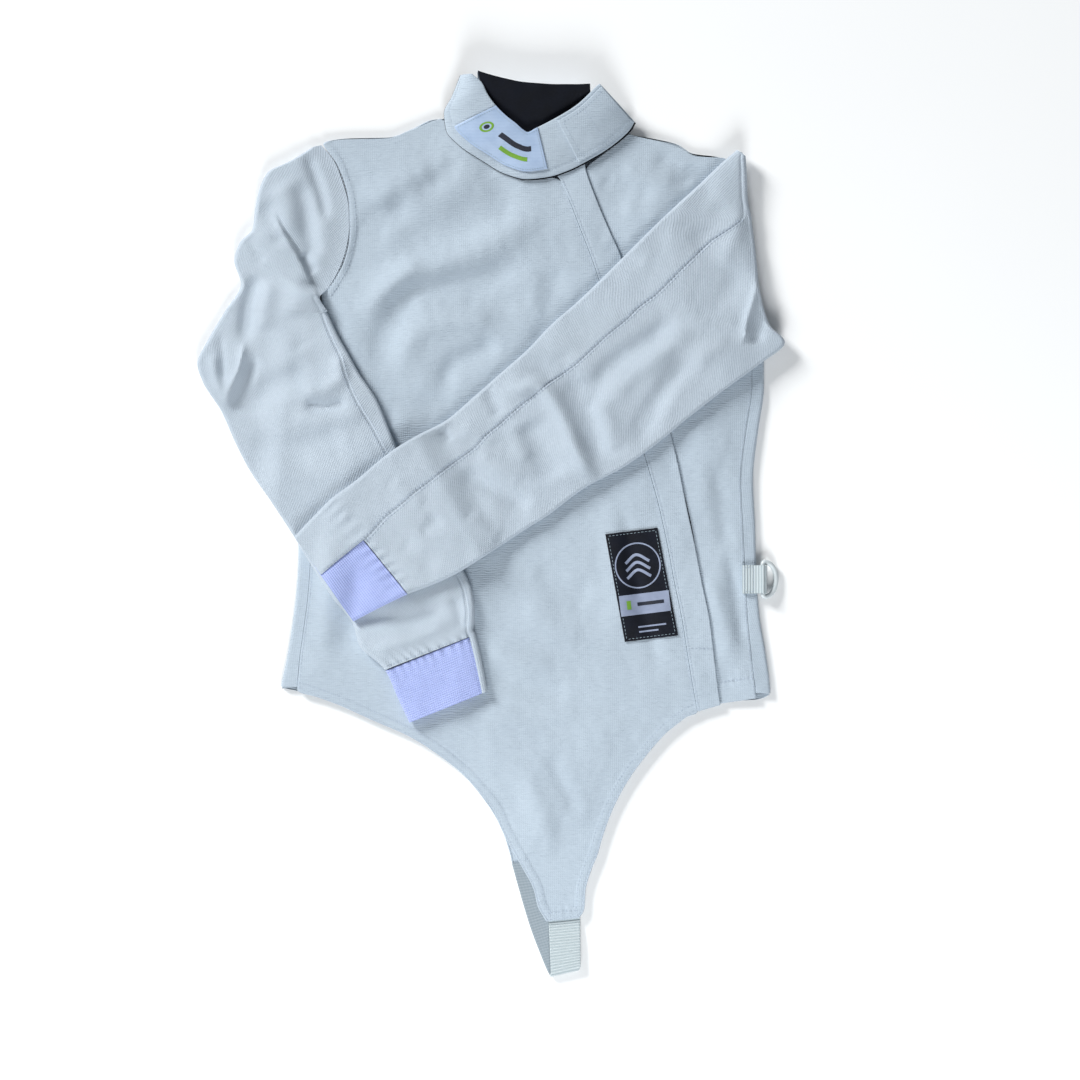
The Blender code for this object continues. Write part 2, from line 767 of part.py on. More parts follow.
def build_collar(finishes):
    """Front band, closing tab, label, dark edge under the lip, back band and lining."""
    every_row = np.arange(len(COLLAR))
    band = collar_points(every_row, np.linspace(0.0, 1.0, 6), 0.0)
    down = np.array([0.0, 0.0, 1.0])
    wall_object("collar_front", band, band - down * COLLAR_CLOTH, finishes["cloth"])

    tab = collar_points(TAB_PLACES, TAB_SHARES, PATCH_LIFT + TAB_CLOTH)
    wall_object("collar_tab", tab, tab - down * TAB_CLOTH, finishes["cloth"])

    label = collar_points(LABEL_PLACES, LABEL_SHARES, PATCH_LIFT + PATCH)
    wall_object("collar_label", label, label - down * PATCH, finishes["collar_label"])

    lip = np.array(COLLAR, float)[:, :4]
    outward = lip[:, :2] - lip[:, 2:4]
    outward /= np.linalg.norm(outward, axis=1, keepdims=True)
    edge = np.hstack([lip[:, :2] + outward * EDGE_PEEK, lip[:, :2] - outward * EDGE_TUCK])
    flat = rungs(edge, np.linspace(0.0, 1.0, 3))
    upper = with_height(flat, front_top(flat) + EDGE_LIFT + EDGE_CLOTH)
    wall_object("collar_edging", upper, upper - down * EDGE_CLOTH, finishes["lining"])

    rows = np.array(COLLAR_BACK, float)
    shares = np.linspace(0.0, 1.0, 5)
    flat = rungs(rows, shares)
    inside = COLLAR_BACK_Z + (LINING_LOW_Z - COLLAR_BACK_Z) * smooth(shares)
    upper = with_height(flat, np.broadcast_to(inside, flat.shape[:2]))
    wall_object("collar_lining", upper, upper - down * LINING_CLOTH, finishes["lining"])

    top = with_height(rows[:, :2] - [0.0, BACK_INSET], np.full(len(rows), BACK_TOP_Z))
    foot = with_height(rows[:, :2] - [0.0, BACK_LEAN], np.full(len(rows), BACK_FOOT_Z))
    band = np.stack([top, (top + foot) / 2 + [0.0, BACK_BULGE, 0.0], foot], axis=1)
    wall_object("collar_back", band, thickened(band, BACK_BAND), finishes["cloth"])


def build_front_label(finish):
    """Woven label on the right front, beside the placket."""
    corners = np.array(FRONT_LABEL, float)
    rows = stations(corners, np.linspace(0.0, 1.0, 6))

    def height(points):
        return front_top(points) + PATCH_LIFT + PATCH

    return panel("front_label", rows, 4, height, PATCH, finish)


def build_elastic(finish):
    """Crotch elastic: down from the front tongue, folded, and back up under it."""
    table = np.array(ELASTIC, float)
    flat = rungs(table, np.linspace(0.0, 1.0, 4))
    middle = with_height(flat, np.broadcast_to(table[:, 4:5], flat.shape[:2]))
    outer = thickened(middle, -ELASTIC_CLOTH / 2)
    inner = thickened(middle, ELASTIC_CLOTH / 2)
    return wall_object("crotch_elastic", outer, inner, finish)


def build_ring_webbing(finish):
    """Webbing sewn to the side, looped round the D-ring's bar and back."""
    radius = RING_WIRE / 2 + RING_CLEARANCE + WEBBING / 2
    path = [(-WEBBING_TAIL, -WEBBING_LAYER), (-10.0, -WEBBING_LAYER), (-5.6, -1.7)]
    for angle in np.radians(np.arange(230, 496, 29)):
        path.append((radius * math.cos(angle), radius * math.sin(angle)))
    path += [(-5.6, 1.7), (-10.0, WEBBING_LAYER), (-WEBBING_TAIL, WEBBING_LAYER)]
    sections = []
    for across in np.linspace(-0.5, 0.5, 3) * WEBBING_WIDTH:
        sections.append(
            [(RING_AXIS_X + x, RING_AXIS_Y + across, RING_AXIS_Z + z) for x, z in path]
        )
    middle = np.array(sections)
    outer = thickened(middle, -WEBBING / 2)
    inner = thickened(middle, WEBBING / 2)
    return wall_object("ring_webbing", outer, inner, finish)


def build_ring(finish):
    """Moulded D-ring: a straight bar and a bow, in round wire, hinged on the bar's own axis."""
    bow = np.radians(np.linspace(90, -90, 15))
    path = [(RING_DEPTH * math.cos(a) ** 0.8 if math.cos(a) > 1e-6 else 0.0,
             RING_BAR / 2 * math.sin(a)) for a in bow]
    path += [(0.0, -RING_BAR / 2 * share) for share in (0.6, 0.2, -0.2, -0.6)]
    path = np.array(path)
    along = np.roll(path, -1, axis=0) - np.roll(path, 1, axis=0)
    along /= np.linalg.norm(along, axis=1, keepdims=True)
    side = np.stack([along[:, 1], -along[:, 0]], axis=1)
    tilt = math.radians(RING_REST_TILT)
    sides = 8
    points = []
    for centre, out in zip(path, side):
        for k in range(sides):
            angle = 2 * math.pi * k / sides
            x = centre[0] + out[0] * RING_WIRE / 2 * math.cos(angle)
            y = centre[1] + out[1] * RING_WIRE / 2 * math.cos(angle)
            z = RING_WIRE / 2 * math.sin(angle)
            points.append(
                (
                    RING_AXIS_X + x * math.cos(tilt) + z * math.sin(tilt),
                    RING_AXIS_Y + y,
                    RING_AXIS_Z - x * math.sin(tilt) + z * math.cos(tilt),
                )
            )
    count = len(path)
    faces = []
    for i in range(count):
        for k in range(sides):
            after, beside = (i + 1) % count, (k + 1) % sides
            faces.append(
                (i * sides + k, i * sides + beside, after * sides + beside, after * sides + k)
            )
    origin = (RING_AXIS_X, RING_AXIS_Y, RING_AXIS_Z)
    return mesh_object("d_ring", points, faces, finish, origin)


def main():
    clear_scene()
    finishes = {
        "cloth": material("jacket_cloth", (0.58, 0.67, 0.76), 0.82),
        "sleeve": material("sleeve_cloth", (0.60, 0.68, 0.75), 0.82),
        "cuff": material("lavender_knit", (0.42, 0.50, 0.88), 0.85),
        "lining": material("navy_lining", (0.012, 0.016, 0.035), 0.7),
        "label": material("black_label", (0.012, 0.018, 0.030), 0.55),
        "collar_label": material("collar_label", (0.42, 0.55, 0.72), 0.5),
        "webbing": material("ribbed_webbing", (0.55, 0.62, 0.64), 0.8),
        "ring": material("ring_plastic", (0.62, 0.68, 0.68), 0.4),
    }
    build_back(finishes["cloth"])
    build_right_front(finishes["cloth"])
    build_placket(finishes["cloth"])
    build_left_front(finishes["cloth"])
    build_zip_tape(finishes["lining"])
    build_sleeve(
        "right",
        turned(RIGHT_SLEEVE),
        over_body,
        RIGHT_SLEEVE_FOLDS,
        RIGHT_UNDERARM,
        RIGHT_WRIST,
        finishes,
    )
    build_sleeve(
        "left", LEFT_SLEEVE, over_right_sleeve, LEFT_SLEEVE_FOLDS, -1, LEFT_WRIST, finishes
    )
    build_collar(finishes)
    build_front_label(finishes["label"])
    build_ring_webbing(finishes["webbing"])
    build_ring(finishes["ring"])
    build_elastic(finishes["webbing"])


main()
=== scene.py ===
"""Looks of a fencing jacket that lies flat, front up, with both sleeves crossed over the front.

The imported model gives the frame: +Y runs from the crotch elastic to the collar, +X to the wearer's
left and +Z up. Tables and lengths here are millimetres, and a mesh is written in metres. Every
piece of cloth is a surface worked out on a grid of two parameters, one along the piece and one
across it, with a wall's thickness behind it, and it lies in the space of its CAD solid.
"""

from __future__ import annotations

import json
import logging
import math
from dataclasses import dataclass, field
from enum import Enum
from typing import Callable

import bpy
import numpy as np
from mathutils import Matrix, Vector


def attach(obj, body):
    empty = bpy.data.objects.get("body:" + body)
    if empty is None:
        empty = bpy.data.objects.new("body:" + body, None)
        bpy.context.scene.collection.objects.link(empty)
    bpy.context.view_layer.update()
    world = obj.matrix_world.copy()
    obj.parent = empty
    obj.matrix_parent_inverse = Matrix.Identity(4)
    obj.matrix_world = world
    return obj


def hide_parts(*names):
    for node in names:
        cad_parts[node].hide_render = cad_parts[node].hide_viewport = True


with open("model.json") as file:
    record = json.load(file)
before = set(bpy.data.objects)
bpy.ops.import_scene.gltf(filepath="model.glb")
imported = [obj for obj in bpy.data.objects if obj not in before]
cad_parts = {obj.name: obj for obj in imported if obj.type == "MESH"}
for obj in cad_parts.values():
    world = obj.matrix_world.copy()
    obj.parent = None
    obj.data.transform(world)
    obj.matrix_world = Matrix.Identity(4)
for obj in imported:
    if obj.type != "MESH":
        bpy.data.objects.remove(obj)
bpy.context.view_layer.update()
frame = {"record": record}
LOG = logging.getLogger("fencing_jacket")
MM = 0.001
JACKET, RING = "jacket", "ring"

Array = np.ndarray
Height = Callable[[Array], Array]

# Walls and gaps, millimetres
NARROWEST = 10.0  # a tape's cut is never stated narrower than this
CLOTH = 1.8
BACK_CLOTH = 1.6
KNIT = 1.6
EDGE_ROUND = 0.46  # radius of a cloth's rounded edge, as a share of its wall
SEAM_GAP = 0.05
LAYER_GAP = 0.35
STACK_GAP = 0.9
SIDE_ROUND = 2.6
FRONT_EDGE_Z = 5.2
FRONT_RISE = 3.4
FRONT_RISE_RUN = 44.0
SLEEVE_THICK = 7.8
CUFF_THICK = 6.6
CLIMB_START = 16.0
CLIMB_RUN = 28.0
CAP_RUN = 28.0
STRIP_WIDTH = 10.5
PLACKET_LIFT = 1.0
UNDERLAP_DROP = 1.6
UNDERLAP_RUN = 30.0
COLLAR_LIP_LIFT = 3.9
LOWER_SEAM = 0.14
FLOOR_GAP = 0.6
STITCH_SAMPLE = 3.0  # a stitch row's height is read this often along it

# Sections of the body, top to bottom
BODY = np.array([
    # left_x, left_y, right_x, right_y
    (-12, 399, 92, 389),
    (-30, 387, 108, 376),
    (-41, 374, 128, 359),
    (-56, 372, 149, 355),
    (-75, 363, 171, 350),
    (-96, 356, 187, 341),
    (-134, 355, 209, 338),
    (-155, 350, 224, 332),
    (-141, 328, 216, 321),
    (-132, 297, 208, 294),
    (-131, 267, 207, 266),
    (-136, 242, 213, 242),
    (-147, 222, 224, 221),
    (-157, 210, 238, 205),
    (-163, 179, 251, 165),
    (-167, 142, 251, 126),
    (-171, 96, 246, 88),
    (-175, 50, 241, 41),
    (-177, 4, 243, -5),
    (-177, -30, 244, -46),
    (-179, -63, 247, -85),
    (-183, -95, 252, -115),
    (-188, -125, 256, -143),
    (-193, -149, 257, -155),
    (-180, -153, 246, -161),
    (-141, -162, 211, -163),
    (-109, -176, 190, -168),
    (-73, -193, 171, -181),
    (-32, -224, 147, -204),
    (-12, -247, 127, -232),
    (2, -267, 110, -256),
    (10, -283, 94, -277),
    (16, -301, 73, -296),
    (20, -318, 53, -314),
], float)
FIRST_WRAP, LAST_WRAP = 14, 23
WRAP_TO_FRONT = 3
WRAP_TO_LEFT_FRONT = 2

# Right front, with the chest and the front tongue: outer edge and placket seam
FRONT = np.array([
    # left_x, left_y, seam_x, seam_y
    (-47, 373, -36, 368),
    (-75, 362, -21, 348),
    (-96, 355, -1, 335),
    (-134, 354, 27, 324),
    (-154, 349, 64, 316),
    (-140, 328, 73, 296),
    (-131, 297, 83, 270),
    (-130, 267, 93, 244),
    (-135, 242, 101, 220),
    (-146, 222, 108, 197),
    (-156, 208, 113, 174),
    (-152, 179, 120, 150),
    (-156, 142, 126, 124),
    (-160, 96, 133, 92),
    (-164, 50, 144, 55),
    (-166, 4, 155, 15),
    (-166, -30, 163, -22),
    (-168, -63, 169, -54),
    (-172, -95, 176, -88),
    (-176, -125, 181, -120),
    (-178, -152, 186, -150),
    (-159, -159, 190, -172),
    (-140, -166, 180, -177),
    (-109, -180, 172, -183),
    (-73, -196, 162, -191),
    (-29, -227, 144, -211),
    (-11, -246, 124, -239),
    (3, -264, 110, -267),
    (9, -279, 102, -290),
    (19, -298, 98, -304),
    (29, -316, 93, -316),
    (39, -335, 87, -337),
    (43, -351, 86, -353),
    (51, -365, 81, -362),
], float)
PLACKET_FIRST, PLACKET_LAST = 4, 21
HEM_FIRST = 20

# Free edge of the placket, a row for each row of the right front that it is sewn to
PLACKET_EDGE = np.array([
    # edge_x, edge_y
    (87, 327),
    (98, 296),
    (109, 270),
    (120, 245),
    (127, 220),
    (133, 197),
    (140, 174),
    (147, 150),
    (154, 124),
    (163, 92),
    (172, 55),
    (180, 15),
    (188, -22),
    (194, -54),
    (201, -88),
    (205, -120),
    (209, -152),
    (211, -166),
], float)

LEFT_FRONT = np.array([
    # under_x, under_y, right_x, right_y
    (126, 359, 137, 356),
    (113, 348, 155, 352),
    (100, 338, 174, 346),
    (89, 329, 190, 338),
    (84, 317, 213, 337),
    (90, 296, 222, 330),
    (101, 270, 216, 319),
    (111, 245, 208, 294),
    (119, 220, 206, 266),
    (125, 197, 212, 242),
    (131, 174, 223, 220),
    (138, 150, 237, 204),
    (145, 124, 240, 165),
    (154, 92, 240, 126),
    (163, 55, 235, 88),
    (171, 15, 230, 41),
    (179, -22, 232, -5),
    (185, -54, 234, -46),
    (192, -88, 236, -85),
    (196, -120, 239, -115),
    (200, -152, 242, -143),
    (202, -166, 244, -160),
], float)

# Right sleeve, which lies under the left one: strip side first. seam is the strip's share of the
# width there, and climb says how far the sleeve lies on the front
RIGHT_SLEEVE = np.array([
    # in_x, in_y, out_x, out_y, seam, climb
    (-156.6, 348.4, -164, 347, 0, 0),
    (-144.4, 333, -185, 334, 0, 0),
    (-137, 314, -205, 324, 0, 0),
    (-132, 294, -213, 308, 0, 0),
    (-131.2, 273, -217, 289, 0, 0),
    (-134.2, 253, -219, 272, 0, 0),
    (-140.8, 234, -231, 259, 0, 0),
    (-150.2, 218, -236, 242, 0, 0.1),
    (-157.8, 208.5, -230, 221, 0, 1),
    (-150, 194, -244, 197, 0.06, 1),
    (-141, 175, -259, 172, 0.06, 1),
    (-131, 157, -270, 148, 0.06, 1),
    (-121, 139, -265, 131, 0.09, 1),
    (-105, 115, -248, 104, 0.13, 1),
    (-94, 89, -235, 75, 0.1, 1),
    (-82, 61, -222, 50, 0.08, 1),
    (-63, 30, -202, 21, 0.07, 1),
    (-44, -7, -181, -11, 0.06, 1),
    (-26, -40, -162, -42, 0.06, 1),
    (-17, -62, -144, -69, 0.06, 1),
    (-15, -80, -127, -91, 0.06, 1),
    (-16, -95, -120, -112, 0.06, 1),
    (-14, -101, -97, -134, 0.07, 1),
    (-8, -127, -86, -158, 0.07, 1),
    (-3, -153, -75, -182, 0.07, 1),
], float)
RIGHT_UNDERARM, RIGHT_WRIST = 8, 22

LEFT_SLEEVE = np.array([
    # up_x, up_y, low_x, low_y, seam, climb
    (226, 344, 234, 338, 0.9, 1),
    (213, 333, 235, 324, 0.9, 1),
    (192, 313, 236, 300, 0.9, 1),
    (168, 291, 239, 284, 0.9, 1),
    (144, 268, 243, 253, 0.58, 1),
    (121, 245, 247, 216, 0.42, 1),
    (100, 224, 256, 184, 0.33, 1),
    (79, 204, 270, 167, 0.27, 1),
    (56, 184, 245, 146, 0.27, 1),
    (33, 160, 211, 121, 0.27, 1),
    (8, 138, 179, 96, 0.25, 1),
    (-17, 116, 151, 73, 0.24, 1),
    (-42, 95, 121, 52, 0.25, 1),
    (-65, 83, 87, 34, 0.31, 1),
    (-87, 70, 52, 8, 0.32, 1),
    (-98, 62, 33, -4, 0.33, 1),
    (-109, 53, 13, -17, 0.33, 1),
    (-118, 45, -10, -32, 0.34, 1),
    (-128, 37, -33, -46, 0.35, 1),
    (-138, 30, -55, -56, 0.39, 1),
    (-147, 23, -76, -64, 0.43, 1),
    (-164, 6, -101, -76, 0.44, 1),
    (-180, -11, -126, -89, 0.45, 1),
], float)
LEFT_WRIST = 20

# Collar band round the neck, from the jacket's right side: free lower lip and top edge
COLLAR = np.array([
    # lip_x, lip_y, top_x, top_y, top_z
    (-28, 413, -17, 413, 23.5),
    (-36, 393, -8, 405, 23),
    (-43, 378, -3, 395, 21.5),
    (-41, 362, 5, 384, 20),
    (-29, 348, 14, 375, 19),
    (-8, 334, 23, 368, 18),
    (13, 322, 30, 362, 17),
    (33, 317, 34, 360, 16.5),
    (52, 319, 42, 364, 17),
    (71, 325, 52, 369, 18),
    (89, 334, 65, 376, 19),
    (106, 344, 79, 385, 21),
    (119, 354, 89, 394, 22),
    (128, 363, 97, 402, 23),
    (132, 370, 100, 404, 23.5),
], float)

# Back of the collar: its top edge, and the lowest line of lining that shows inside the neck
COLLAR_BACK = np.array([
    # back_x, back_y, low_x, low_y
    (-12, 416, -6, 388),
    (-1, 412.5, 0, 376),
    (13, 409, 14, 362),
    (27, 406, 29, 352),
    (43, 404.5, 46, 354),
    (60, 403.5, 62, 362),
    (77, 403.5, 78, 373),
    (91, 404, 92, 385),
], float)

# Crotch elastic: down from the front tongue, folded over and back up to the back tongue
ELASTIC = np.array([
    # left_x, left_y, right_x, right_y, z
    (52.2, -358, 81.4, -355, 2.5),
    (53, -366.6, 82, -363.6, 2.6),
    (54, -387, 82.2, -384, 4.8),
    (55, -411.5, 82.4, -405.5, 5.6),
    (54.7, -414.2, 81.7, -408.2, 5.1),
    (54.2, -415.4, 80.8, -409.4, 3.2),
    (53.7, -414.2, 80.1, -408.2, 1.3),
    (52, -411, 79.6, -404.8, 0.8),
    (37, -373, 65.6, -364, 0.8),
    (23.6, -328, 56.2, -324, 1.1),
    (21.2, -319, 53.8, -315, 2.5),
    (19.2, -312, 51.8, -308, 2.55),
], float)


def smooth(share: Array) -> Array:
    """0 to 1 with level ends: three times the square less twice the cube."""
    share = np.clip(share, 0.0, 1.0)
    return share * share * (3.0 - 2.0 * share)


def between(start: Array, end: Array, share: Array) -> Array:
    """Places at a share of the way from one end to the other."""
    return start * (1.0 - share) + end * share


def unit_of(vectors: Array) -> Array:
    """Vectors brought to a length of 1."""
    return vectors / np.maximum(np.linalg.norm(vectors, axis=-1, keepdims=True), 1e-9)


def lengths_along(points: Array, axis: int = 0) -> Array:
    """Length run at each point of a line or a grid, from its first row or column."""
    step = np.linalg.norm(np.diff(points, axis=axis), axis=-1)
    return np.concatenate([np.zeros_like(step.take([0], axis)), np.cumsum(step, axis)], axis)


def eased_rows(rows: Array, places: Array) -> Array:
    """Read a table at whole or part row numbers, on a curve that never overshoots its rows.

    Each column is a cubic between two rows, whose slope at a row is the harmonic mean of the steps
    before and after it, and level where they turn back.

    Args:
        rows: the table, a row for each section.
        places: row numbers, whole or part.

    Returns:
        The columns at each place.
    """
    step = np.diff(rows, axis=0)
    before, after = step[:-1], step[1:]
    same = before * after > 0.0
    total = np.where(same, before + after, 1.0)
    slope = np.zeros_like(rows)
    slope[1:-1] = np.where(same, 2.0 * before * after / total, 0.0)
    slope[0], slope[-1] = step[0], step[-1]
    index = np.clip(np.floor(places).astype(int), 0, len(rows) - 2)
    t = (places - index)[:, None]
    start, end = rows[index], rows[index + 1]
    rise = t * t * (3.0 - 2.0 * t)
    lead = t * (1.0 - t) ** 2 * slope[index]
    tail = t * t * (1.0 - t) * slope[index + 1]
    return start + (end - start) * rise + lead - tail


def eased_path(path: Array, parts: int = 5) -> Array:
    """A short path read on its eased curve, in so many parts between two of its points."""
    path = np.asarray(path, float)
    return eased_rows(path, np.linspace(0.0, len(path) - 1.0, parts * (len(path) - 1) + 1))


def outline_of(rows: Array, parts: int = 3) -> Array:
    """Closed outline down the first ends of a table's rows and back up the second ends."""
    ends = eased_path(rows[:, :4], parts)
    return np.vstack([ends[:, :2], ends[::-1, 2:4]])


def near_line(points: Array, line: Array) -> tuple[Array, Array]:
    """Nearest place on a line for each point.

    Each stretch gives the point's foot on it, held between its two ends, and the shortest counts.

    Args:
        points: x and y in the last axis.
        line: the line's points.

    Returns:
        The distance, positive on the line's left, and the share of the line's length there.
    """
    start, run = line[:-1], np.diff(line, axis=0)
    length = np.maximum(np.linalg.norm(run, axis=1), 1e-9)
    offset = points[..., None, :] - start
    share = np.clip((offset * run).sum(-1) / length**2, 0.0, 1.0)
    gap = offset - share[..., None] * run
    distance = np.sqrt((gap**2).sum(-1))
    best = distance.argmin(-1)[..., None]
    side = np.sign(run[:, 0] * offset[..., 1] - run[:, 1] * offset[..., 0])
    reach = np.concatenate([[0.0], np.cumsum(length)[:-1]])
    along = (reach + share * length) / length.sum()
    signed = np.take_along_axis(distance * side, best, -1)[..., 0]
    return signed, np.take_along_axis(along, best, -1)[..., 0]


def outside(points: Array, outline: Array) -> Array:
    """Distance to a closed outline: positive outside and negative inside.

    A point is inside where a line from it to the right crosses the outline an odd number of times.
    """
    line = np.vstack([outline, outline[:1]])
    distance = np.abs(near_line(points, line)[0])
    start, run = line[:-1], np.diff(line, axis=0)
    over = points[..., None, 1] < start[:, 1]
    beyond = points[..., None, 1] < start[:, 1] + run[:, 1]
    rise = np.where(np.abs(run[:, 1]) < 1e-9, 1e-9, run[:, 1])
    reach = start[:, 0] + (points[..., None, 1] - start[:, 1]) / rise * run[:, 0]
    crossings = ((over != beyond) & (points[..., None, 0] < reach)).sum(-1)
    return np.where(crossings % 2 == 1, -distance, distance)


class FoldKind(Enum):
    """How the cloth's height changes across a fold's line."""

    SOFT = "a rounded ridge or trough"
    SHARP = "a pinched crease with a narrow crest"
    STEP = "cloth on the left of the line that lies over the cloth on its right"


@dataclass(frozen=True)
class Fold:
    """One crease, laid along a line, higher or lower than the cloth round it."""

    path: tuple[tuple[float, float], ...]
    width: float
    height: float
    kind: FoldKind = FoldKind.SOFT
    reach: float = 45.0

    def height_at(self, points: Array) -> Array:
        """Height that the fold adds at each point.

        A bell of the distance from the line, times a share that falls to nothing at both of its
        ends. A step rises within its width and falls off again over its reach.
        """
        line = eased_path(self.path)
        margin = 3.2 * max(self.width, self.reach if self.kind is FoldKind.STEP else 0.0)
        low, high = line.min(0) - margin, line.max(0) + margin
        near = ((points > low) & (points < high)).all(-1)
        total = np.zeros(points.shape[:-1])
        if not near.any():
            return total
        distance, along = near_line(points[near], line)
        ends = smooth(along / 0.22) * smooth((1.0 - along) / 0.22)
        across = distance / self.width
        if self.kind is FoldKind.SOFT:
            bell = np.exp(-(across**2))
        elif self.kind is FoldKind.SHARP:
            bell = np.exp(0.3 - np.sqrt(0.09 + 2.2 * across**2))
        else:
            bell = smooth(across + 0.5) * np.exp(-((np.maximum(distance, 0.0) / self.reach) ** 2))
        total[near] = self.height * ends * bell
        return total


def heights_of(folds: tuple[Fold, ...], points: Array) -> Array:
    """Sum of several folds at each point."""
    total = np.zeros(points.shape[:-1])
    for fold in folds:
        total += fold.height_at(points)
    return total


def soft_floor(height: Array, floor: Array | float, ease: float) -> Array:
    """A height held above a floor, eased where the two come near each other."""
    return (height + floor + np.sqrt((height - floor) ** 2 + ease)) / 2


def slack(points: Array, length: float, height: float, seed: int) -> Array:
    """Gentle unevenness of cloth that lies loose: a sum of sine waves in seeded directions."""
    source = np.random.default_rng(seed)
    total = np.zeros(points.shape[:-1])
    waves = 9
    for _ in range(waves):
        turn, phase = source.uniform(0.0, 2.0 * math.pi, 2)
        wave = 2.0 * math.pi / (length * source.uniform(0.6, 1.7))
        run = points[..., 0] * math.cos(turn) + points[..., 1] * math.sin(turn)
        total += np.sin(run * wave + phase)
    return total * height / math.sqrt(waves)


def rolled(depth: Array, radius: float) -> Array:
    """How far a face falls away at a rounded edge: a quarter circle within the radius."""
    inside = np.clip(depth / radius, 0.0, 1.0)
    return radius * (1.0 - np.sqrt(np.maximum(1.0 - (1.0 - inside) ** 2, 0.0)))


def edge_places(length: float, count: int, first: float = 0.25) -> Array:
    """Shares from 0 to 1 that crowd at both ends, so that a rounded edge has its own rows."""
    near = np.array([0.0, first, 2.2 * first, 4.5 * first, 8.0 * first]) / max(length, 20.0 * first)
    middle = np.linspace(near[-1], 1.0 - near[-1], count)
    return np.concatenate([near[:-1], middle, 1.0 - near[-2::-1]])


def offset_line(line: Array, distance: float) -> Array:
    """A line moved to its left by a distance."""
    along = unit_of(np.gradient(line, axis=0))
    return line + distance * np.stack([-along[:, 1], along[:, 0]], axis=1)


@dataclass(frozen=True)
class Hem:
    """A turned and stitched edge: a thicker band with sunk stitch rows and small puckers."""

    line: Array
    width: float = 8.5
    rise: float = 0.7
    rows: tuple[float, ...] = (1.8, 7.6)
    pucker: float = 0.16

    def height_at(self, points: Array) -> Array:
        """Rise of the band, less a groove at each stitch row, plus ripples along it."""
        distance, along = near_line(points, self.line)
        distance = np.abs(distance)
        length = lengths_along(self.line)[-1]
        total = self.rise * (1.0 - smooth((distance - self.width) / 1.6 + 0.5))
        for row in self.rows:
            total -= 0.34 * np.exp(-(((distance - row) / 0.8) ** 2))
        ripple = np.sin(along * length * 0.9) + 0.7 * np.sin(along * length * 0.57 + 1.3)
        return total + self.pucker * ripple * np.exp(-(((distance - self.width) / 5.0) ** 2))


